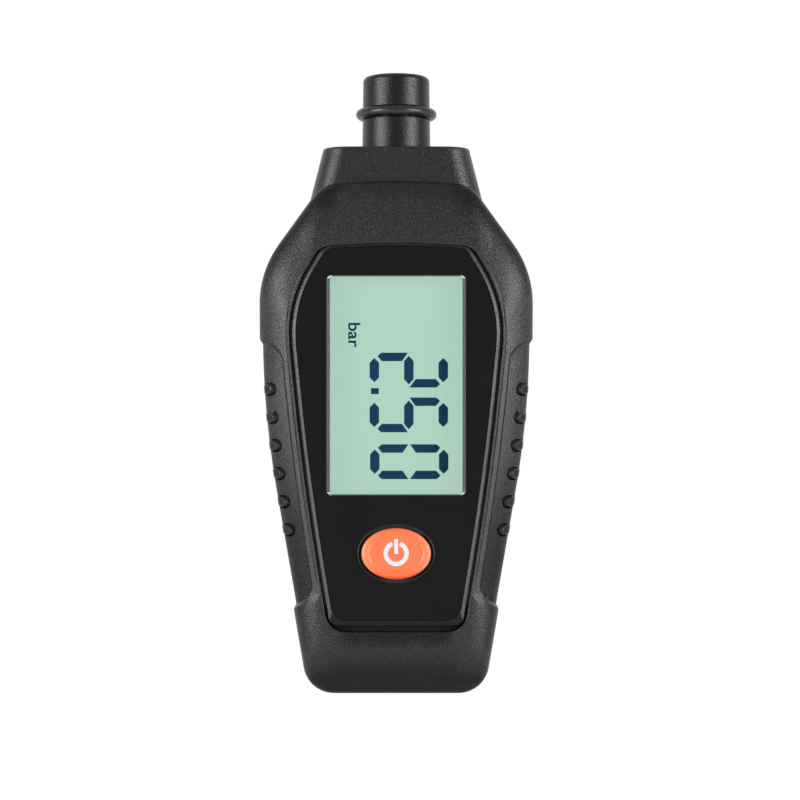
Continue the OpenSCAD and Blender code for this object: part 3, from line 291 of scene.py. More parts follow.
def skin_painted_shading(x, y, z, facing):
    """Painted shade on the plain skin at its shoulder edges, hood top, foot and groove; less than nothing is
    a painted highlight.
    """
    hood, shoulder = Vector(CASE[1][:2]), Vector(CASE[2][:2])
    slope = (shoulder - hood).normalized()
    inside = min(shoulder.x - x, (x - hood.x) * slope.y - (z - hood.y) * slope.x)
    # Painted shade near the outer edge of the shoulders, and over the hood's top.
    painted_shading = (0.34 + 0.16 * smooth((z - 80) / 8)) * smooth((5.5 - inside) / 4) * smooth((z - 68) / 8)
    painted_shading = max(painted_shading, 0.2 * smooth((z - 85.5) / 3))
    # Painted highlight beside the lip's bead on the upper shoulders.
    if y < -9:
        beside_lip = smooth(1.2 - abs(x - lip_half(z) - 0.9) / 1.3)
        painted_shading -= 0.8 * beside_lip * smooth((z - 64) / 6) * smooth((82 - z) / 4)
    # Painted shade: the base darker towards the bottom, most at the toe.
    if z < 11:
        foot = (0.6 - 0.2 * smooth((x - 9) / 4) * smooth((z - 3) / 2)) * smooth((11 - z) / 8.5)
        toe = 0.3 * smooth((2 - z) / 1.5) + 0.35 * smooth((x - 13) / 2) * smooth((3.8 - z) / 1.5)
        painted_shading = max(painted_shading, foot + toe)
    # Painted shade on the lower sides.
    if z < 18.5:
        painted_shading = max(painted_shading, 0.38 * smooth((x - 13.5) / 2.5) * smooth((z - 6) / 3) * smooth((18.5 - z) / 3))
    # Painted shade along the groove below the panel, strongest on its upward-facing wall.
    if y < -11 and 6 < z < 17:
        painted_shading = max(painted_shading, 0.42 * smooth((z - 7) / 3.6) * smooth((11 - x) / 3) * smooth((12.5 - z) / 0.5))
        painted_shading = max(painted_shading, 0.75 * smooth((facing.z - 0.15) / 0.3))
    return painted_shading


def grip_relief(spot, facing):
    """How far the grip recess, less its ribs, lies below the cover's skin, and the painted shade and painted
    highlight on the skin there.
    """
    x, y, z = abs(spot.x), spot.y, spot.z
    crease = lip_crease(x, z) + sill_dip(x, z) if y < -11 else 0
    painted_shading = skin_painted_shading(x, y, z, facing)
    if not 13 < z < 63 or x < 12 or y > 9.5:
        return crease, painted_shading
    side = case_half(z)
    inward = 17.9 - x
    top, top_wall = step((61.6 - 2.55 * max(0, (CASE[2][0] - x) / 4) ** 2.2 - z) / 1.15)
    low, low_wall = step((z - 15.35 - 0.72 * inward - 0.8 * max(0, inward - 2) ** 2) / 1.0)
    ledge, ledge_wall = step((x - ledge_half(z)) / 0.6)
    front = smooth((8.6 - y) / 0.6 + 0.5)
    rib, moat, edge = 0, 0, 0
    for rib_z in RIBS:
        tip = case_half(rib_z) - RIB_REACH + RIB_R
        off = math.hypot(max(0, tip - x), z - rib_z) - RIB_R
        below = 0.5 + 0.5 * min(1, max(-1, (rib_z - z) / RIB_R))
        rib = max(rib, smooth(0.5 - (off + 0.08) / 0.36))
        moat = max(moat, (0.85 + 0.15 * below) * smooth(1.1 - abs(off - 0.2) / (0.13 + 0.06 * below)))
        # Painted highlight: a pale crescent just inside each rib's rounded tip.
        pale = 0.8 + 0.6 * smooth((rib_z - 34) / 10)
        edge = max(edge, pale * smooth(1.3 - abs(off + 0.13) / 0.2) * smooth((tip + 0.2 - x) / 0.5))
    within = top * low * ledge * front
    # Painted shade: the recess darker towards its lower end, the rib fill darker, the rib tips paler.
    painted_shading = max(painted_shading, 0.6 * within * smooth((52 - z) / 34))
    painted_shading += ((0.5 - painted_shading) * rib - edge) * within
    # Painted shade along the recess's top wall and the ledge's wall.
    shaded = max(top_wall * smooth((side - x + 1) / 0.8) * ledge, 0.8 * ledge_wall * top) * low * front
    painted_shading = max(painted_shading, shaded)
    # Painted shade in the moats round the ribs.
    painted_shading += (1 - painted_shading) * within * moat * smooth((-6.6 - y) / 1.2)
    # Painted highlight on the facet at the recess's lower end.
    painted_shading -= (painted_shading + 0.8) * low_wall * ledge * front
    rise = 0.12 + 0.4 * smooth((side - x) / 0.7)
    depth = within * (GRIP_D - rise * rib + MOAT_D * moat * smooth((-8.6 - y) / 1.2))
    return depth + crease, painted_shading


def skin(rings, closed=False, relief=None):
    """Quads through rings of equal count, welded round; ends filled, or first and last joined."""
    rings = rings + rings[:1] if closed else rings
    count = len(rings[0])
    bm = bmesh.new()
    bmesh.ops.create_grid(bm, x_segments=count, y_segments=len(rings) - 1, size=1)
    for k, vert in enumerate(bm.verts):
        row, column = divmod(k, count + 1)
        vert.co = rings[row][column % count]
    bmesh.ops.remove_doubles(bm, verts=bm.verts, dist=WELD)
    if not closed:
        bmesh.ops.holes_fill(bm, edges=[e for e in bm.edges if e.is_boundary], sides=0)
    bmesh.ops.recalc_face_normals(bm, faces=bm.faces)
    if relief:
        bm.normal_update()
        # The relief's second value is kept as a painted shading attribute: painted shade above nothing,
        # painted highlight below.
        painted_shading = bm.verts.layers.float.new("painted_shading")
        moves = [(vert, vert.normal.copy(), *relief(vert.co, vert.normal)) for vert in bm.verts]
        for vert, out, depth, level in moves:
            vert.co -= out * depth
            vert[painted_shading] = level
    return bm


def welded(bm):
    """A mesh with its doubles merged and its faces turned outwards."""
    bmesh.ops.remove_doubles(bm, verts=bm.verts, dist=WELD)
    bmesh.ops.recalc_face_normals(bm, faces=bm.faces)
    return bm


def block(x, w, y0, y1, z0, z1, edge=0.0):
    bm = bmesh.new()
    bmesh.ops.create_cube(bm, size=1)
    bmesh.ops.scale(bm, vec=(w, y1 - y0, z1 - z0), verts=bm.verts)
    bmesh.ops.translate(bm, vec=(x, (y0 + y1) / 2, (z0 + z1) / 2), verts=bm.verts)
    if edge:
        bmesh.ops.bevel(bm, geom=bm.edges[:], offset=edge, affect="EDGES", segments=2, profile=0.5,
                        material=-1)
    return bm


def spun(points, axis, centre=(0, 0, 0), steps=96):
    """A closed profile of 3-D points swung once round an axis."""
    bm = bmesh.new()
    verts = [bm.verts.new(p) for p in points]
    edges = [bm.edges.new((verts[i - 1], verts[i])) for i in range(len(verts))]
    bmesh.ops.spin(bm, geom=verts + edges, cent=centre, axis=axis, angle=math.tau, steps=steps,
                   use_merge=True)
    welded(bm)
    bmesh.ops.delete(bm, geom=[e for e in bm.edges if e.is_wire], context="EDGES")
    return bm


def half_section(profile, steps):
    """Points of a turned piece's rounded profile, those beside its axis put on it."""
    return [Vector((p.x if p.x > CORE_R else 0, p.y)) for p in outline(profile, steps)]


def upright(profile, steps=96):
    """Turned piece on the upright axis, from a rounded (radius, height, corner radius) profile."""
    return spun([(p.x, 0, p.y) for p in half_section(profile, 6)], (0, 0, 1), steps=steps)


def bored(x, z, profile, steps=48):
    """Turned piece on a front-to-back axis, from a (radius, depth, corner radius) profile."""
    points = [(x + p.x, p.y, z) for p in half_section(profile[::-1], 4)]
    return spun(points, (0, 1, 0), (x, 0, z), steps)


def joined(*parts):
    """Several meshes as one."""
    whole = bmesh.new()
    for part in parts:
        mesh = bpy.data.meshes.new("part")
        part.to_mesh(mesh)
        part.free()
        whole.from_mesh(mesh)
        bpy.data.meshes.remove(mesh)
    return whole


def shaped(thing):
    """A new mesh of an object as its modifiers or its curve shape it."""
    return bpy.data.meshes.new_from_object(thing.evaluated_get(bpy.context.evaluated_depsgraph_get()))


def curve_mesh(curve):
    """The welded mesh of a curve or text, which is then taken away."""
    holder = bpy.data.objects.new(curve.name, curve)
    scene.collection.objects.link(holder)
    flat = shaped(holder)
    bm = bmesh.new()
    bm.from_mesh(flat)
    bpy.data.meshes.remove(flat)
    bpy.data.curves.remove(curve)
    return welded(bm)


def solid(name, bm, *finishes):
    bmesh.ops.scale(bm, vec=(MM, MM, MM), verts=bm.verts)
    mesh = bpy.data.meshes.new(name)
    bm.to_mesh(mesh)
    bm.free()
    for finish in finishes:
        mesh.materials.append(finish)
    made = bpy.data.objects.new(name, mesh)
    scene.collection.objects.link(made)
    return made


def carve(target, *cutters, operation="DIFFERENCE"):
    """Cut solids out of a piece, or add them to it, and take the cutters away."""
    for cutter in cutters:
        change = target.modifiers.new(cutter.name, "BOOLEAN")
        change.object, change.operation, change.solver = cutter, operation, "EXACT"
        change.material_mode = "TRANSFER"
    changed = shaped(target)
    target.modifiers.clear()
    plain, target.data = target.data, changed
    bpy.data.meshes.remove(plain)
    for cutter in cutters:
        bpy.data.meshes.remove(cutter.data)


def seat(piece, body, slot, *nodes, crease=38):
    """Finish a piece: smooth shading with its creases, its body and what it stands for, which is hidden. Its
    slot is not used.
    """
    piece.data.shade_smooth()
    piece.data.set_sharp_from_angle(angle=math.radians(crease))
    level = piece.modifiers.new("face_normals", "WEIGHTED_NORMAL")
    level.keep_sharp = True
    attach(piece, body)
    if nodes:
        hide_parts(*nodes)


# Finishes
class Nodes:
    """A node tree at hand, with the coordinates it goes by."""

    def __init__(self, tree, space):
        self.nodes, self.links = tree.nodes, tree.links
        self.coords = self.node("TexCoord").outputs[space]

    def node(self, kind, **settings):
        made = self.nodes.new("ShaderNode" + kind)
        for name, value in settings.items():
            setattr(made, name, value)
        return made

    def join(self, source, target):
        self.links.new(source, target)

    def reckon(self, operation, *values):
        """What an operation makes of sockets and numbers."""
        made = self.node("Math", operation=operation)
        for socket, value in zip(made.inputs, values):
            if isinstance(value, float):
                socket.default_value = value
            else:
                self.join(value, socket)
        return made.outputs[0]

    def axis(self, name):
        """One of the coordinates."""
        parts = self.node("SeparateXYZ")
        self.join(self.coords, parts.inputs["Vector"])
        return parts.outputs[name]

    def mapped(self, source, start, end, low, high, kind="LINEAR"):
        """A stretch of a value spread between two levels, and held beyond them."""
        made = self.node("MapRange", interpolation_type=kind)
        for socket, value in (("From Min", start), ("From Max", end), ("To Min", low), ("To Max", high)):
            made.inputs[socket].default_value = value
        self.join(source, made.inputs["Value"])
        return made.outputs["Result"]


class Finish(Nodes):
    """A material with its nodes at hand."""

    def __init__(self, name, **sockets):
        self.material = bpy.data.materials.new(name)
        self.material.use_nodes = True
        super().__init__(self.material.node_tree, "Object")
        self.surface = self.nodes["Principled BSDF"]
        for socket, value in sockets.items():
            self.surface.inputs[socket.replace("_", " ")].default_value = value

    def feed(self, socket, source):
        self.join(source, self.surface.inputs[socket])

    def noise(self, size, detail=3.0, stretch=None):
        made = self.node("TexNoise")
        made.inputs["Scale"].default_value = 1 / (size * MM)
        made.inputs["Detail"].default_value = detail
        where = self.coords
        if stretch:
            turn = self.node("Mapping")
            turn.inputs["Scale"].default_value = stretch
            self.join(where, turn.inputs["Vector"])
            where = turn.outputs["Vector"]
        self.join(where, made.inputs["Vector"])
        return made.outputs["Fac"]

    def ramp(self, source, *stops, stepped=False):
        made = self.node("ValToRGB")
        if stepped:
            made.color_ramp.interpolation = "CONSTANT"
        bar = made.color_ramp.elements
        while len(bar) < len(stops):
            bar.new(0.5)
        for element, (place, colour) in zip(bar, stops):
            element.position = place
            element.color = (*colour, 1)
        self.join(source, made.inputs["Fac"])
        return made.outputs["Color"]

    def spread(self, source, low, high):
        """A noise's middle stretch, spread between two levels."""
        return self.mapped(source, 0.3, 0.7, low, high)

    def below(self, low, high, level):
        """A level held below one height and gone above another."""
        return self.mapped(self.axis("Z"), low * MM, high * MM, level, 0.0, "SMOOTHSTEP")

    def roughen(self, source, low, high):
        self.feed("Roughness", self.spread(source, low, high))

    def bump(self, source, strength, height):
        made = self.node("Bump")
        made.inputs["Strength"].default_value = strength
        made.inputs["Distance"].default_value = height * MM
        self.join(source, made.inputs["Height"])
        self.feed("Normal", made.outputs["Normal"])


def shade(colour, factor):
    return tuple(min(1, c * factor) for c in colour)


def moulded(name, colour, rough, grain=0.22, relief=0.02, drift=0.12, low=None, painted_highlight=0.0, mesh_painted_light=False,
            **sockets):
    """Moulded plastic: spark-eroded grain and a slow drift of tone; a painted highlight low down, or painted
    shade and highlight from its mesh's attribute.
    """
    finish = Finish(name, **sockets)
    fine = finish.noise(grain, 1)
    tone = finish.reckon("MULTIPLY_ADD", fine, 0.85, finish.reckon("MULTIPLY", finish.noise(9, 2), 0.15))
    if low:
        # Painted highlight: tone raised below a given height.
        tone = finish.reckon("ADD", tone, finish.below(*low, painted_highlight))
    if mesh_painted_light:
        # Painted shade from the mesh's attribute: reflection cut through Metallic over the dark base, and
        # tone lowered; below nothing it raises tone as a painted highlight.
        painted_shading = finish.node("Attribute", attribute_name="painted_shading").outputs["Fac"]
        finish.feed("Metallic", finish.reckon("MAXIMUM", painted_shading, 0.0))
        tone = finish.reckon("MULTIPLY_ADD", painted_shading, -0.2, tone)
    shades = [(place, shade(colour, 1 + far * drift)) for place, far in ((0.38, -1), (0.56, 1), (0.66, 6))]
    finish.feed("Base Color", finish.ramp(tone, *shades))
    finish.roughen(fine, rough - 0.05, rough + 0.05)
    finish.bump(fine, 1.0, relief)
    return finish.material


def rubber(name, colour, rough):
    return moulded(name, colour, rough, grain=0.5, relief=0.008, drift=0.2)


def metal(name, colour, rough, stretch=(1, 1, 0.08)):
    """Rolled or drawn metal with fine lengthwise marks."""
    finish = Finish(name, Metallic=1.0)
    marks = finish.noise(0.12, 2, stretch)
    tone = finish.ramp(marks, (0.3, shade(colour, 0.82)), (0.7, shade(colour, 1.1)))
    finish.feed("Base Color", tone)
    finish.roughen(marks, rough - 0.08, rough + 0.08)
    finish.bump(marks, 0.3, 0.01)
    return finish.material


def display_glass():
    """Pale reflective display, lit a little from behind."""
    finish = Finish("display_pale_green", Roughness=0.45, Emission_Strength=1.0)
    slow = finish.noise(14, 1)
    tone = finish.ramp(slow, (0.3, (0.045, 0.062, 0.052)), (0.7, (0.047, 0.065, 0.054)))
    glow = finish.ramp(slow, (0.3, (0.364, 0.553, 0.449)), (0.7, (0.37, 0.561, 0.457)))
    finish.feed("Base Color", tone)
    finish.feed("Emission Color", glow)
    return finish.material


def clear_lens():
    """Clear window: a faint sheet of hard plastic with hairline wear."""
    finish = Finish("lens_clear", Base_Color=(0.5, 0.55, 0.53, 1), Alpha=0.008, IOR=1.49)
    finish.roughen(finish.noise(0.6, 3), 0.04, 0.1)
    return finish.material


def cell_wrap(name, bottom, top):
    """Printed cell label with a dark end band, a thin line and bare steel ends, between two heights."""
    finish = Finish(name)
    along = finish.mapped(finish.axis("Z"), bottom * MM, top * MM, 0, 1)
    steel, copper, black = (0.6, 0.6, 0.6), (0.58, 0.24, 0.025), (0.012, 0.012, 0.013)
    stops = [(0, steel), (0.012, black), (0.66, (0.75, 0.73, 0.68)), (0.675, copper), (0.966, steel)]
    bare = [(place, (1, 1, 1) if colour in (steel, copper) else (0, 0, 0)) for place, colour in stops]
    finish.feed("Base Color", finish.ramp(along, *stops, stepped=True))
    finish.feed("Metallic", finish.ramp(along, *bare, stepped=True))
    finish.roughen(finish.noise(0.8, 3), 0.22, 0.36)
    return finish.material


def circuit_board():
    """Green solder mask over faint copper runs."""
    finish = Finish("board_green", Roughness=0.35)
    runs = finish.node("TexVoronoi", feature="DISTANCE_TO_EDGE", distance="MANHATTAN")
    runs.inputs["Scale"].default_value = 1 / (2.2 * MM)
    finish.join(finish.coords, runs.inputs["Vector"])
    tone = finish.ramp(runs.outputs["Distance"], (0.08, (0.02, 0.15, 0.06)), (0.12, (0.012, 0.095, 0.038)))
    finish.feed("Base Color", tone)
    finish.bump(runs.outputs["Distance"], 0.3, 0.03)
    return finish.material


def button_plastic():
    """Satin orange, with painted shade and painted highlights round the edge as its tone attribute says."""
    finish = Finish("button_orange_satin", Roughness=0.32)
    fine = finish.noise(0.12, 2)
    mesh_painted_light = finish.node("Attribute", attribute_name="tone").outputs["Fac"]
    tone = finish.reckon("MULTIPLY_ADD", finish.spread(fine, -1, 1), 0.02, mesh_painted_light)
    shades = finish.ramp(tone, (0, (1.0, 0.07, 0.008)), (0.5, (1.0, 0.198, 0.076)), (1, (1.0, 0.33, 0.165)))
    finish.feed("Base Color", shades)
    finish.bump(fine, 1.0, 0.003)
    return finish.material


def lead_cover():
    """Soft wire covers: red at the left cell's positive end, black at the right."""
    finish = Finish("lead_cover_red_black")
    side = finish.reckon("GREATER_THAN", finish.axis("X"), 0.0)
    shades = finish.ramp(side, (0, (0.43, 0.042, 0.027)), (1, (0.012, 0.012, 0.013)))
    finish.feed("Base Color", shades)
    finish.roughen(finish.noise(0.5, 2), 0.35, 0.45)
    return finish.material


BLACK = (0.009, 0.009, 0.0095)
# Cover plastic, carrying the mesh's painted shade and painted highlight.
case_black = moulded("case_black_grained_painted_shading", BLACK, 0.36, grain=0.21, relief=0.075, drift=0.5, mesh_painted_light=True,
                     Specular_IOR_Level=0.5)
collar_black = moulded("collar_black_grained", shade(BLACK, 0.4), 0.35, grain=0.21, relief=0.06, drift=0.5,
                       Specular_IOR_Level=0.72)
# Rim plastic with a painted highlight on its lower part: paler below 20 mm, fading out by 46 mm.
rim_black = moulded("rim_black_grained_painted_highlight", BLACK, 0.34, grain=0.21, relief=0.06, drift=0.8, low=(20, 46),
                    painted_highlight=0.3, Specular_IOR_Level=0.5)
# Painted shade: a darker, less reflective copy of the rim plastic for its downward faces and the groove
# floor.
sill_painted_shade = moulded("rim_sill_painted_shade", (0.015, 0.015, 0.0155), 0.5, grain=0.22, relief=0.03,
                     Specular_IOR_Level=0.1)
nozzle_black = moulded("nozzle_black_fine_grain", (0.002, 0.002, 0.0022), 0.35, grain=0.2, relief=0.045,
                       drift=0.4, Specular_IOR_Level=0.44)
panel_black = moulded("panel_satin_black", (0.0095, 0.0095, 0.0097), 0.25, grain=0.1, relief=0.001,
                      Specular_IOR_Level=0.05)
window_edge = moulded("window_edge_grey", (0.07, 0.07, 0.072), 0.28, grain=0.12, relief=0.002)
# Painted glint for the window bevel's corners.
window_glint = moulded("window_corner_painted_glint", (0.74, 0.73, 0.72), 0.3, grain=0.12, relief=0.002)
button_orange = button_plastic()
# Button skirt and well walls in grey: painted fill light in the shaded gap round the button.
skirt_black = moulded("button_skirt_grey_painted_fill", (0.08, 0.08, 0.082), 0.5, grain=0.2, relief=0.004,
                      Specular_IOR_Level=0.2)
mark_white = moulded("mark_ink_white", (0.74, 0.79, 0.81), 0.5, grain=0.15, relief=0.004, drift=0.03)
segment_ink = moulded("segment_dark_blue", (0.001, 0.03, 0.078), 0.6, grain=0.3, relief=0.001, drift=0.06,
                      Specular_IOR_Level=0.05)
ring_black = rubber("ring_rubber_black", (0.013, 0.013, 0.013), 0.36)
seal_black = rubber("seal_rubber_dark", (0.045, 0.045, 0.048), 0.55)
steel_bright = metal("steel_plated", (0.62, 0.63, 0.65), 0.28)

NODE_FINISH = {
    "display_lens": clear_lens(),
    "lcd_glass": display_glass(),
    "zebra_strips": rubber("contact_rubber_buff", (0.58, 0.55, 0.48), 0.6),
    "backlight_plate": moulded("light_plate_milky", (0.8, 0.86, 0.78), 0.3, grain=0.6, relief=0.004,
                               drift=0.03),
    "lcd_holder": moulded("holder_pale_grey", (0.72, 0.75, 0.76), 0.5, drift=0.05),
    "main_board": circuit_board(),
    "controller_chip": moulded("chip_black_resin", (0.011, 0.011, 0.012), 0.5, grain=0.1, relief=0.004),
    "small_parts": moulded("chip_parts_ceramic", (0.45, 0.33, 0.19), 0.5, grain=0.2, relief=0.006),
    "tact_switch": moulded("switch_black", (0.025, 0.026, 0.03), 0.45),
    "switch_plunger": moulded("switch_grey", (0.15, 0.156, 0.165), 0.4),
    "depressor_pin": metal("pin_brass", (0.6, 0.38, 0.1), 0.3),
    "nozzle_retainer": moulded("retainer_dark_grey", (0.044, 0.046, 0.05), 0.5),
    "retainer_screws": metal("screw_steel_small", (0.5, 0.51, 0.53), 0.3),
    "air_tube": rubber("tube_silicone", (0.7, 0.68, 0.61), 0.4),
    "pressure_sensor": moulded("sensor_slate", (0.042, 0.052, 0.063), 0.45),
    "left_cell": cell_wrap("cell_wrap_left", BAY_LOW_Z + SPRING_L, BAY_TOP_Z),
    "right_cell": cell_wrap("cell_wrap_right", BAY_TOP_Z - SPRING_L, BAY_LOW_Z),
    "bridge_contact": steel_bright,
    "terminal_contacts": steel_bright,
    "board_screws": metal("board_screw_steel", (0.5, 0.51, 0.53), 0.3),
    "case_screws": metal("case_screw_steel", (0.42, 0.43, 0.45), 0.32, (0.3, 1, 0.3)),
}


# Collar: six-sided bowed outline, tapering up to the nozzle
def collar_loop(w, d):
    x, y, bow, r = w / 2, d / 2, 0.6, 4.4
    return [(0, y, 160), (x, y - bow, r), (x, bow - y, r), (0, -y, 160), (-x, bow - y, r), (-x, y - bow, r)]


def level(loop, z):
    return [Vector((p.x, p.y, z)) for p in outline(loop, 20)]


def collar_rings(by):
    top, base = collar_loop(26.0, 17.4), collar_loop(30.8, 18.6)
    rings = []
    for turn in range(0, 91, 15):
        a = math.radians(turn)
        inward, down = COLLAR_EDGE * (1 - math.sin(a)), COLLAR_EDGE * (1 - math.cos(a))
        rings.append(level(grow(top, by - inward), COLLAR_TOP_Z + by - down))
    return rings + [level(grow(base, by), SEAT_Z)]


def neck_gap():
    """Room for the collar in the covers, a hair wider than it."""
    return solid("neck_gap", skin(collar_rings(0.1)), case_black)


def neck_collar():
    spigot = [level(collar_loop(24.8, 14.8), z) for z in (SEAT_Z, COLLAR_FOOT_Z)]
    made = solid("neck_collar_piece", skin(collar_rings(0) + spigot), collar_black)
    hole = upright([
        (0.01, 120, 0.001), (7.5, 120, 0.01), (6.35, COLLAR_TOP_Z, 0.2), (6.2, COLLAR_TOP_Z - 0.25, 0.2),
        (6.2, 84.3, 0.01), (7.3, 84.3, 0.01), (7.3, 80, 0.01), (0.01, 80, 0.001),
    ])
    carve(made, solid("nozzle_hole", hole, collar_black))
    seat(made, "case", "case_plastic", "neck_collar")


def nozzle():
    profile = [
        (0.8, 77.9, 0.1), (1.6, 77.9, 0.2), (1.6, COLLAR_FOOT_Z, 0.2), (7.2, COLLAR_FOOT_Z, 0.2),
        (7.2, 84.2, 0.2), (6.1, 84.2, 0.1), (6.1, COLLAR_TOP_Z, 0.1), (6.0, RING_Z - 1, 0.12),
        (5.38, RING_Z - 1, 0.1), (5.38, RING_Z + 1, 0.1), (5.98, RING_Z + 1, 0.12),
        (5.9, NOZZLE_TOP_Z, 0.9), (4.65, NOZZLE_TOP_Z, 0.15), (4.25, NOZZLE_TOP_Z - 0.4, 0.15),
        (4.25, 102.8, 0.05), (4.6, 102.8, 0.05), (4.6, SEAL_Z, 0.1), (1.27, SEAL_Z, 0.1),
        (1.27, 96.8, 0.1), (0.8, 96.8, 0.1),
    ]
    made = solid("nozzle_piece", upright(profile[::-1], 128), nozzle_black)
    seat(made, "case", "nozzle_plastic", "nozzle", crease=30)


def nozzle_o_ring():
    bm = bmesh.new()
    circle = bmesh.ops.create_circle(bm, segments=28, radius=0.9)["verts"]
    bmesh.ops.rotate(bm, verts=circle, matrix=Matrix.Rotation(math.pi / 2, 3, "X"))
    bmesh.ops.translate(bm, verts=circle, vec=(6.3, 0, RING_Z))
    bmesh.ops.spin(bm, geom=bm.verts[:] + bm.edges[:], cent=(0, 0, 0), axis=(0, 0, 1), angle=math.tau,
                   steps=128, use_merge=True)
    seat(solid("o_ring_piece", welded(bm), ring_black), "case", "ring_rubber", "nozzle_o_ring", crease=80)


def valve_seal():
    profile = [(1.7, SEAL_Z, 0.1), (1.7, 102.7, 0.35), (4.55, 102.75, 0.2), (4.55, SEAL_Z, 0.2)]
    seat(solid("valve_seal_piece", upright(profile, 64), seal_black), "case", "seal_rubber", "valve_seal")


# Covers
ROLL = [math.asin(0.0125 * k) for k in range(25)]
ROLL += [math.asin(0.32 + 0.02 * k) for k in range(12)]
ROLL += [math.asin(0.555 + 0.0125 * k) for k in range(28)]
ROLL += [ROLL[-1] + (math.pi / 2 - ROLL[-1]) * (k + 1) / 9 for k in range(9)]
SEAM_DROP = 0.16


def front_shell():
    outer, toe, lip = ring(CASE, CASE_FOOT), ring(TOE, CASE_FOOT), ring(LIP, LIP_FOOT)
    opening, pocket = ring(OPENING, LIP_FOOT), ring(grow(OPENING, FLANGE_W + GAP), FLANGE_FOOT)
    inside = ring(grow(CASE, -WALL), CASE_FOOT)
    edge = front_edge(toe, lip)
    rings = [front_view(opening, FLANGE_Y), front_view(opening, FRONT_Y + LIP_R)]
    for turn in (18, 36, 54, 72):
        a = math.radians(turn)
        bead = [p.lerp(q, 1 - math.cos(a)) for p, q in zip(opening, lip)]
        rings.append(front_view(bead, FRONT_Y + LIP_R * (1 - math.sin(a))))
    rings += [rolled(toe, lip, turn, FRONT_Y, edge) for turn in ROLL]
    side = rings[-1]
    for share in (0.35, 0.7, 1.0):
        depths = [v.y + (SEAM_Y - SEAM_DROP - v.y) * share for v in side]
        rings.append([Vector((p.x, y, p.y)) for p, y in zip(outer, depths)])
    rings.append(front_view(ring(grow(CASE, -SEAM_DROP), CASE_FOOT), SEAM_Y))
    rings += [front_view(inside, SEAM_Y), front_view(inside, -4.0), front_view(pocket, FLANGE_Y)]
    made = solid("front_shell", skin(rings, closed=True, relief=grip_relief), case_black)
    carve(made, neck_gap())
    seat(made, "case", "case_plastic", "front_cover")


def door_gap():
    """The door's pocket in the back, with a small chamfer round its mouth."""
    loops = ((0.3, DOOR_Y - 0.2), (0.3, BACK_Y - 0.18), (0.78, BACK_Y + 0.3))
    return solid("door_gap", skin([front_view(outline(grow(DOOR, by)), y) for by, y in loops]), case_black)


def screw_well(x, z):
    profile = [(0.01, 8.45, 0.001), (2.3, 8.45, 0.05), (2.3, 13.3, 0.05), (2.9, 13.9, 0.01),
               (0.01, 13.9, 0.001)]
    return solid("screw_well", bored(x, z, profile), case_black)


def screw_boss(x, z):
    profile = [(0.01, 3.0, 0.001), (3.7, 3.0, 0.05), (3.7, 12.6, 0.05), (0.01, 12.6, 0.001)]
    return solid("screw_boss", bored(x, z, profile), case_black)


SCREWS = [(17.3, 69.6), (-17.3, 69.6), (9.0, 6.8), (-9.0, 6.8)]


def rear_shell():
    outer, back = ring(CASE, CASE_FOOT), ring(grow(CASE, -BACK_EDGE_W), CASE_FOOT)
    inside, floor = ring(grow(CASE, -WALL), CASE_FOOT), ring(grow(CASE, -WALL - 2), CASE_FOOT)
    edge = [(-BACK_EDGE_D, 0, 1)] * len(outer)
    rings = [spine(floor, BACK_Y - BACK_WALL), front_view(floor, BACK_Y - BACK_WALL)]
    rings.append(front_view(inside, BACK_Y - BACK_WALL - 2.1))
    rings += [front_view(inside, SEAM_Y), front_view(ring(grow(CASE, -SEAM_DROP), CASE_FOOT), SEAM_Y)]
    rings += [front_view(outer, y) for y in (SEAM_Y + SEAM_DROP, 4.0, 7.6, 8.1, 8.3, 8.5, 8.7, 8.9, 9.1)]
    rings += [rolled(outer, back, math.radians(turn), BACK_Y, edge) for turn in range(90, -1, -6)]
    rings.append(spine(back, BACK_Y))
    made = solid("rear_shell", skin(rings, relief=grip_relief), case_black)
    carve(made, solid("bay_walls", block(0, 25.3, -1.4, 12.5, 11.8, 64.5), case_black),
          solid("latch_shelf", block(0, 25.3, 10.0, 12.5, 64.0, 66.8), case_black),
          *[screw_boss(*spot) for spot in SCREWS], operation="UNION")
    tab_rooms = [block(x, TAB_W + 0.4, TAB_Y - 0.2, 11.45, 10.4, 13.2) for x in (-TAB_X, TAB_X)]
    carve(made, neck_gap(), door_gap(),
          solid("bay_room", block(0, 22.9, -0.2, 12.0, 13.0, 63.3), case_black),
          *[solid("tab_room", room, case_black) for room in tab_rooms],
          *[screw_well(*spot) for spot in SCREWS])
    seat(made, "case", "case_plastic", "rear_cover")


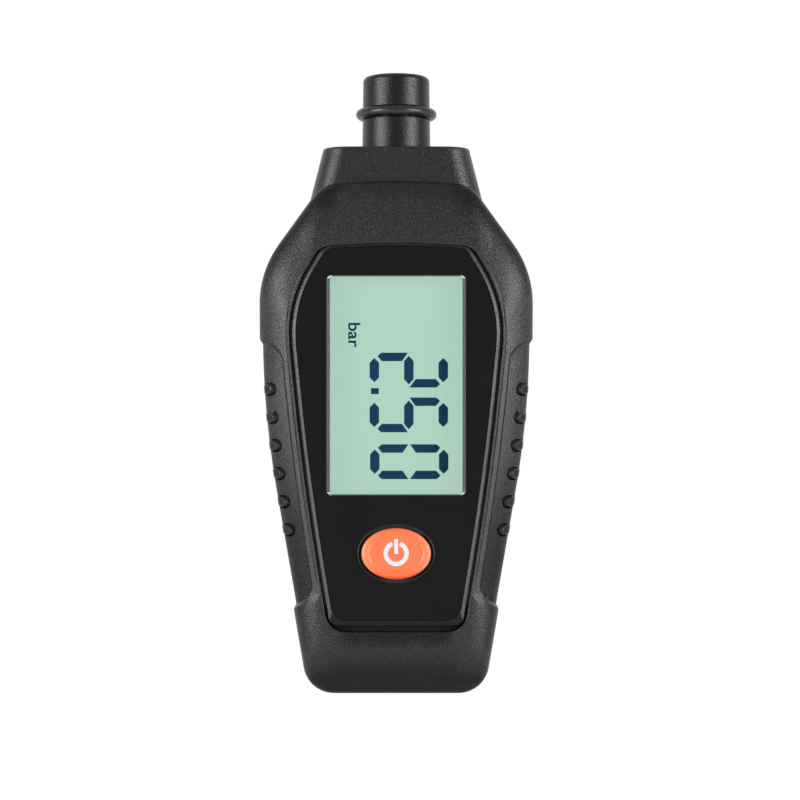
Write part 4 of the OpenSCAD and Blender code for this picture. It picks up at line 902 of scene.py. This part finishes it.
def battery_door():
    loops = ((0.0, DOOR_Y), (0.0, BACK_Y - 0.35), (-0.05, BACK_Y - 0.17), (-0.17, BACK_Y - 0.05),
             (-0.35, BACK_Y))
    made = solid("door_piece", skin([front_view(outline(grow(DOOR, by)), y) for by, y in loops]), case_black)
    dish_z, dish_r = 61.7, 3.2
    dish = [(0.01, 12.9, 0.001), (2.9, 12.9, 0.2), (dish_r, BACK_Y, 0.05), (dish_r + 0.6, 14.1, 0.01),
            (0.01, 14.1, 0.001)]
    carve(made, *[solid("latch_slot", block(x, 0.8, 11, 14.5, 57.7, 67), case_black) for x in (-5.4, 5.4)],
          solid("latch_dish", bored(0, dish_z, dish), case_black))
    ridges = []
    for off in (-1.6, 0, 1.6):
        w, z = 2 * math.sqrt(dish_r ** 2 - off ** 2) - 0.5, dish_z + off
        ridges.append(block(0, w, 12.7, 13.45, z - 0.35, z + 0.35, edge=0.18))
    tabs = [block(x, TAB_W, TAB_Y, 11.4, 10.6, 13.0, edge=0.15) for x in (-TAB_X, TAB_X)]
    stems = [block(x, TAB_W, TAB_Y, 11.8, DOOR_Z, 13.0, edge=0.05) for x in (-TAB_X, TAB_X)]
    bm = bmesh.new()
    bm.from_mesh(made.data)
    bmesh.ops.scale(bm, vec=(1 / MM, 1 / MM, 1 / MM), verts=bm.verts)
    bpy.data.meshes.remove(made.data)
    whole = solid("battery_door_piece", joined(bm, *ridges, *tabs, *stems), case_black)
    seat(whole, "door", "case_plastic", "battery_door")


# Face
def oval(w, h, y, steps=128):
    bm = bmesh.new()
    circle = bmesh.ops.create_circle(bm, segments=steps, radius=1)["verts"]
    points = [Vector((v.co.x * w / 2, y, BUTTON_Z + v.co.y * h / 2)) for v in circle]
    bm.free()
    return points


def button_ring(by, y):
    """The button's outline, wider all round by as much as is given."""
    return oval(BUTTON_W + 2 * by, BUTTON_H + 2 * by, y)


def button_gap(by, y0, y1, flare):
    """The button's hole, flared at its front."""
    stages = ((by, y1), (by, y0 + flare / 2), (by + flare, y0), (by + flare, y0 - 1))
    return skin([button_ring(*stage) for stage in stages])


def bezel_frame():
    rim, flange = ring(RIM, RIM_FOOT), ring(grow(OPENING, FLANGE_W), FLANGE_FOOT)
    crest, well = ring(grow(FACE, 0.08), RIM_FOOT), ring(grow(FACE, 0.05), RIM_FOOT)
    slope = [p.lerp(q, 0.5) for p, q in zip(crest, rim)]
    shoulder = [p.lerp(q, 0.92) for p, q in zip(crest, rim)]
    half_w = WINDOW_W / 2
    window = [Vector((max(-half_w, min(half_w, p.x)), max(WINDOW_LOW, min(WINDOW_HIGH, p.y)))) for p in well]
    stages = (
        (well, PANEL_BACK_Y), (well, RIM_Y + 0.04), (crest, RIM_Y), (slope, RIM_Y + 0.15),
        (shoulder, RIM_Y + 0.28), (rim, RIM_Y + 0.34), (rim, FLANGE_Y), (flange, FLANGE_Y),
        (flange, BEZEL_BACK_Y), (window, BEZEL_BACK_Y), (window, PANEL_BACK_Y),
    )
    frame_skin = skin([front_view(*stage) for stage in stages], closed=True)
    # Painted shade: the rim's downward-facing faces and the groove floor below the panel take the shaded sill
    # finish.
    for face in frame_skin.faces:
        out = face.normal
        centre = face.calc_center_median()
        groove = out.y < -0.9 and abs(centre.y - FLANGE_Y) < 0.01 and centre.z < 16
        face.material_index = int(groove or out.y < -0.5 and -out.z > max(0.02, 0.5 * abs(out.x)))
    made = solid("bezel_frame_piece", frame_skin, rim_black, sill_painted_shade)
    lens_room = block(0, WINDOW_W + 2.1, PANEL_BACK_Y - 0.5, PANEL_BACK_Y + 1, WINDOW_LOW - 1.05,
                      WINDOW_HIGH + 1.05)
    carve(made, solid("lens_room", lens_room, rim_black),
          solid("button_room", button_gap(1.6, PANEL_BACK_Y - 0.5, BEZEL_BACK_Y + 1, 0.01), rim_black))
    seat(made, "case", "case_plastic", "bezel_frame")


def window_gap():
    """The window's hole: bevelled at its sides, square at its top and bottom, with a painted glint at the
    bevel's corners.
    """
    inner_y, outer_r = PANEL_Y + 0.4, WINDOW_R + 0.2
    stages = ((0, WINDOW_R, PANEL_BACK_Y + 0.5), (0, WINDOW_R, inner_y), (WINDOW_BEVEL, outer_r, PANEL_Y),
              (WINDOW_BEVEL * 1.4, outer_r, PANEL_Y - 0.2))
    rings = []
    for by, r, y in stages:
        rings.append(front_view(outline(box_loop(WINDOW_W + 2 * by, WINDOW_LOW, WINDOW_HIGH, r)), y))
    gap = skin(rings)
    # Painted glint on the bevel's corner faces; the side walls and bevels take the grey edge finish, the top
    # and bottom walls the panel's finish.
    for face in gap.faces:
        slant = abs(face.normal.z)
        corner = slant > 0.25 and face.calc_center_median().y < inner_y
        face.material_index = 1 if slant > 0.95 else 2 * int(corner)
    return solid("window_gap", gap, window_edge, panel_black, window_glint)


def face_panel():
    edges = ((0, PANEL_BACK_Y), (0, PANEL_Y + 0.08), (-0.02, PANEL_Y + 0.03), (-0.08, PANEL_Y))
    sheet = skin([front_view(outline(grow(FACE, by), 20), y) for by, y in edges])
    made = solid("face_panel_piece", sheet, panel_black)
    bead = ((0.51, 0.1), (0.53, -0.03), (0.58, -0.05), (0.63, -0.03), (0.7, 0.02), (0.7, 0.1))
    rings = [button_ring(by, PANEL_Y + drop) for by, drop in bead]
    well = button_gap(0.5, PANEL_Y, PANEL_BACK_Y + 1, 0.01)
    carve(made, window_gap(), solid("button_gap", well, skirt_black))
    carve(made, solid("button_bead", skin(rings, closed=True), case_black), operation="UNION")
    seat(made, "case", "panel_black", "face_panel")


def power_button():
    flange = [button_ring(1.3, y) for y in (BUTTON_FLANGE_Y + 0.8, BUTTON_FLANGE_Y)]
    sides = [button_ring(0, y) for y in (BUTTON_FLANGE_Y, BUTTON_Y + 0.6, BUTTON_Y + 0.35)]
    share = BUTTON_H / BUTTON_W
    crown = []
    rim = ((0.03, 0.24), (0.1, 0.14), (0.2, 0.07), (0.35, 0.025), (0.55, 0.006), (0.8, 0), (1.15, 0))
    dish = ((1.21, 0.008), (1.27, 0.033), (1.38, 0.087), (1.44, 0.112), (1.5, 0.12), (2.2, 0.12), (3.6, 0.12))
    for inward, drop in rim + dish:
        w = BUTTON_W - 2 * inward
        crown.append(oval(w, w * share, BUTTON_Y + drop))
    post = [(0.01, -11.6, 0.001), (2.5, -11.6, 0.01), (2.5, -10.3, 0.2), (0.01, -10.3, 0.001)]
    cap = skin(flange + sides + crown)
    # Tone attribute: painted highlight arcs at the dish's edge near the sides, paler rim sides, and painted
    # shade deeper along the rim's bottom and top.
    tone = cap.verts.layers.float.new("tone")
    for vert in cap.verts:
        x, z = 2 * vert.co.x / BUTTON_W, 2 * (vert.co.z - BUTTON_Z) / BUTTON_H
        far = math.hypot(x, z)
        edge = smooth((far - 0.82) / 0.12)
        glint = smooth(1 - abs(far - 0.798) / 0.02) * smooth((abs(x) - 0.68) / 0.1)
        vert[tone] = 0.5 + 0.6 * glint + edge * (0.5 * x * x - (0.6 if z < 0 else 0.15) * z * z)
    for face in cap.faces:
        face.material_index = int(face.calc_center_median().y > BUTTON_Y + 0.5)
    made = solid("power_button_piece", joined(cap, bored(0, BUTTON_Z, post)), button_orange, skirt_black)
    seat(made, "button", "button_orange", "power_button", crease=30)


def power_mark():
    """Broken ring with an upright bar, a hair proud of the button's dish."""
    outer_r, line, front, rear = 2.17, 0.74, BUTTON_DISH_Y - 0.03, BUTTON_DISH_Y + 0.1
    opening, middle = math.radians(21), BUTTON_Z + 0.05
    bm = bmesh.new()
    corners = [(outer_r, front), (outer_r, rear), (outer_r - line, rear), (outer_r - line, front)]
    face = bm.faces.new([bm.verts.new((0, y, middle + r)) for r, y in corners])
    bmesh.ops.rotate(bm, verts=face.verts, cent=(0, 0, middle), matrix=Matrix.Rotation(opening, 3, "Y"))
    bmesh.ops.spin(bm, geom=[face] + face.verts[:] + face.edges[:], cent=(0, 0, middle), axis=(0, 1, 0),
                   angle=math.tau - 2 * opening, steps=72)
    bar = block(0, 0.66, front, rear, middle - 0.06, middle + 2.5)
    seat(solid("power_mark_piece", joined(welded(bm), bar), mark_white), "button", "mark_white", "power_mark")


# Display
LCD_STEP = 0.17404
SEGMENT_STEP = LCD_STEP / 8.04


def lcd_spot(across, down):
    """Place on the display of a point given in steps from the picture's middle."""
    return VIEW_X + across * LCD_STEP, VIEW_Z - down * LCD_STEP


SHORT = [(0, 98), (38, 59), (38, -59), (0, -98), (-38, -59), (-38, 59)]
MIDDLE = [(0, 116), (38, 73), (38, -73), (0, -116), (-38, -73), (-38, 73)]
LONG = [(252, -112), (221, -140), (6, -140), (54, -72), (217, -72)]
SEGMENTS = {
    "a": [(277 + x, y) for x, y in SHORT], "d": [(x - 277, y) for x, y in SHORT], "g": MIDDLE,
    "f": LONG, "e": [(-x, y) for x, y in LONG], "b": [(x, -y) for x, y in LONG],
    "c": [(-x, -y) for x, y in LONG],
}
DIGITS = ((8.8, -29.9, "abged"), (8.8, 14.9, "afgcd"), (9.2, 61.7, "abcdef"))
INK_Y = LCD_Y - 0.03


def plate(points, y0, y1):
    """Flat plate of the front view between two depths."""
    bm = bmesh.new()
    face = bm.faces.new([bm.verts.new((x, y0, z)) for x, z in points])
    grown = bmesh.ops.extrude_face_region(bm, geom=[face])["geom"]
    far = [v for v in grown if isinstance(v, bmesh.types.BMVert)]
    bmesh.ops.translate(bm, vec=(0, y1 - y0, 0), verts=far)
    bmesh.ops.recalc_face_normals(bm, faces=bm.faces)
    return bm


def display_reading():
    """Three seven-segment digits with a point, read from top to bottom, and the unit beside them."""
    plates = []
    for across, down, lit in DIGITS:
        x, z = lcd_spot(across, down)
        for name in lit:
            corners = [(x + u * SEGMENT_STEP, z - v * SEGMENT_STEP) for u, v in SEGMENTS[name]]
            plates.append(plate(corners, INK_Y, LCD_Y))
    x0, z0 = lcd_spot(-29.0, -11.9)
    x1, z1 = lcd_spot(-21.2, -5.9)
    plates.append(plate([(x0, z0), (x1, z0), (x1, z1), (x0, z1)], INK_Y, LCD_Y))
    text = bpy.data.curves.new("unit", "FONT")
    text.body, text.size, text.extrude, text.offset = "bar", 2.75, 0.015, 0.04
    unit = curve_mesh(text)
    x, z = lcd_spot(-51.5, -78)
    turned = Matrix(((0, 1.07, 0, x), (0, 0, -1, LCD_Y - 0.015), (-1.2, 0, 0, z), (0, 0, 0, 1)))
    bmesh.ops.transform(unit, verts=unit.verts, matrix=turned)
    seat(solid("display_reading", joined(*plates, unit), segment_ink), "case", "display_glass")


# Wound springs and soldered leads
def wire(name, paths, radius, finish, slot, node):
    """Round wire along points, one run for each path."""
    parts = []
    for path in paths:
        curve = bpy.data.curves.new(name, "CURVE")
        curve.dimensions, curve.use_fill_caps = "3D", True
        curve.bevel_depth, curve.bevel_resolution = radius, 4
        spline = curve.splines.new("POLY")
        spline.points.add(len(path) - 1)
        for point, spot in zip(spline.points, path):
            point.co = (*spot, 1)
        parts.append(curve_mesh(curve))
    seat(solid(name, joined(*parts), finish), "case", slot, node)


def contact_springs():
    low, turns, steps = 0.37, 3.5, 24
    paths = []
    for x, foot, way in ((-CELL_X, BAY_LOW_Z, 1), (CELL_X, BAY_TOP_Z, -1)):
        path = []
        for k in range(int(turns * steps) + 1):
            share, a = k / (turns * steps), math.tau * k / steps
            r = 4 - 1.6 * share
            z = foot + way * (low + (SPRING_L - 2 * low) * share)
            path.append((x + r * math.cos(a), CELL_Y + r * math.sin(a), z))
        paths.append(path)
    wire("contact_springs_piece", paths, 0.35, steel_bright, "contact_steel", "contact_springs")


def battery_leads():
    top = LEAD_Z + LEAD_RISE
    route = ((CELL_Y, LEAD_Z), (CELL_Y, top), (BOARD_BACK_Y + CELL_Y / 2, top), (BOARD_BACK_Y, top))
    paths = [interpolate_bezier(*[Vector((x, y, z)) for y, z in route], 21) for x in (-CELL_X, CELL_X)]
    wire("battery_leads_piece", paths, 0.6, lead_cover(), "lead_cover", "battery_leads")


neck_collar()
nozzle()
nozzle_o_ring()
valve_seal()
front_shell()
rear_shell()
battery_door()
bezel_frame()
face_panel()
power_button()
power_mark()
display_reading()
contact_springs()
battery_leads()

for node, finish in NODE_FINISH.items():
    for mesh_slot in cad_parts[node].material_slots:
        mesh_slot.material = finish


# Floor, light and camera
def studio_floor():
    bm = bmesh.new()
    bmesh.ops.create_grid(bm, x_segments=1, y_segments=1, size=2000)
    finish = Finish("floor_white", Roughness=0.9)
    tone = finish.ramp(finish.noise(400, 1), (0.3, (0.78, 0.78, 0.78)), (0.7, (0.8, 0.8, 0.8)))
    finish.feed("Base Color", tone)
    path = finish.node("LightPath").outputs
    white = finish.node("Emission")
    white.inputs["Strength"].default_value = 1.09
    mix = finish.node("MixShader")
    seen = path["Is Camera Ray"]
    for kind in ("Is Glossy Ray", "Is Transmission Ray"):
        seen = finish.reckon("MAXIMUM", seen, path[kind])
    finish.join(finish.reckon("MULTIPLY", seen, 0.9), mix.inputs["Fac"])
    finish.join(finish.surface.outputs["BSDF"], mix.inputs[1])
    finish.join(white.outputs["Emission"], mix.inputs[2])
    finish.join(mix.outputs["Shader"], finish.nodes["Material Output"].inputs["Surface"])
    solid("studio_floor", bm, finish.material)


def studio_world():
    """White wherever the camera looks; in reflections, white behind the gauge and pale above it."""
    world = bpy.data.worlds.new("studio")
    scene.world = world
    world.use_nodes = True
    sky = Nodes(world.node_tree, "Generated")
    path = sky.node("LightPath").outputs
    behind = sky.mapped(sky.axis("Y"), -0.25, 0.7, 0.0, 1.0, "SMOOTHSTEP")
    above = sky.mapped(sky.axis("Z"), -0.1, 0.9, 0.0, 0.55, "SMOOTHSTEP")
    shine = sky.reckon("MULTIPLY", path["Is Glossy Ray"], sky.reckon("MAXIMUM", behind, above))
    seen = sky.reckon("MAXIMUM", path["Is Camera Ray"], path["Is Transmission Ray"])
    level = sky.reckon("MAXIMUM", sky.reckon("MAXIMUM", shine, seen), 0.08)
    backdrop = sky.nodes["Background"].inputs
    sky.join(level, backdrop["Strength"])
    backdrop["Color"].default_value = (1, 1, 1, 1)


def softbox(name, azimuth, height, distance, w, h, radiance):
    lamp = bpy.data.lights.new(name, "AREA")
    lamp.shape, lamp.size, lamp.size_y = "RECTANGLE", w, h
    lamp.energy = radiance * math.pi * w * h
    box = bpy.data.objects.new(name, lamp)
    scene.collection.objects.link(box)
    a = math.radians(azimuth)
    target = Vector((0, 0, 0.055))
    box.location = Vector((distance * math.sin(a), -distance * math.cos(a), height))
    box.rotation_euler = (target - box.location).to_track_quat("-Z", "Y").to_euler()


studio_floor()
studio_world()
for name, azimuth in (("softbox_left", -54), ("softbox_right", 54)):
    softbox(name, azimuth, height=0.115, distance=0.6, w=0.3, h=0.34, radiance=10.9)

lens = bpy.data.cameras.new("camera")
lens.lens, lens.sensor_width, lens.sensor_fit = 88.99, 36, "HORIZONTAL"
lens.clip_start, lens.clip_end = 0.01, 20
camera = bpy.data.objects.new("camera", lens)
camera.location = (VIEW_X * MM, -VIEW_BACK * MM, VIEW_Z * MM)
camera.rotation_euler = (math.pi / 2, 0, 0)
scene.collection.objects.link(camera)
scene.camera = camera
scene.view_settings.view_transform = "Standard"
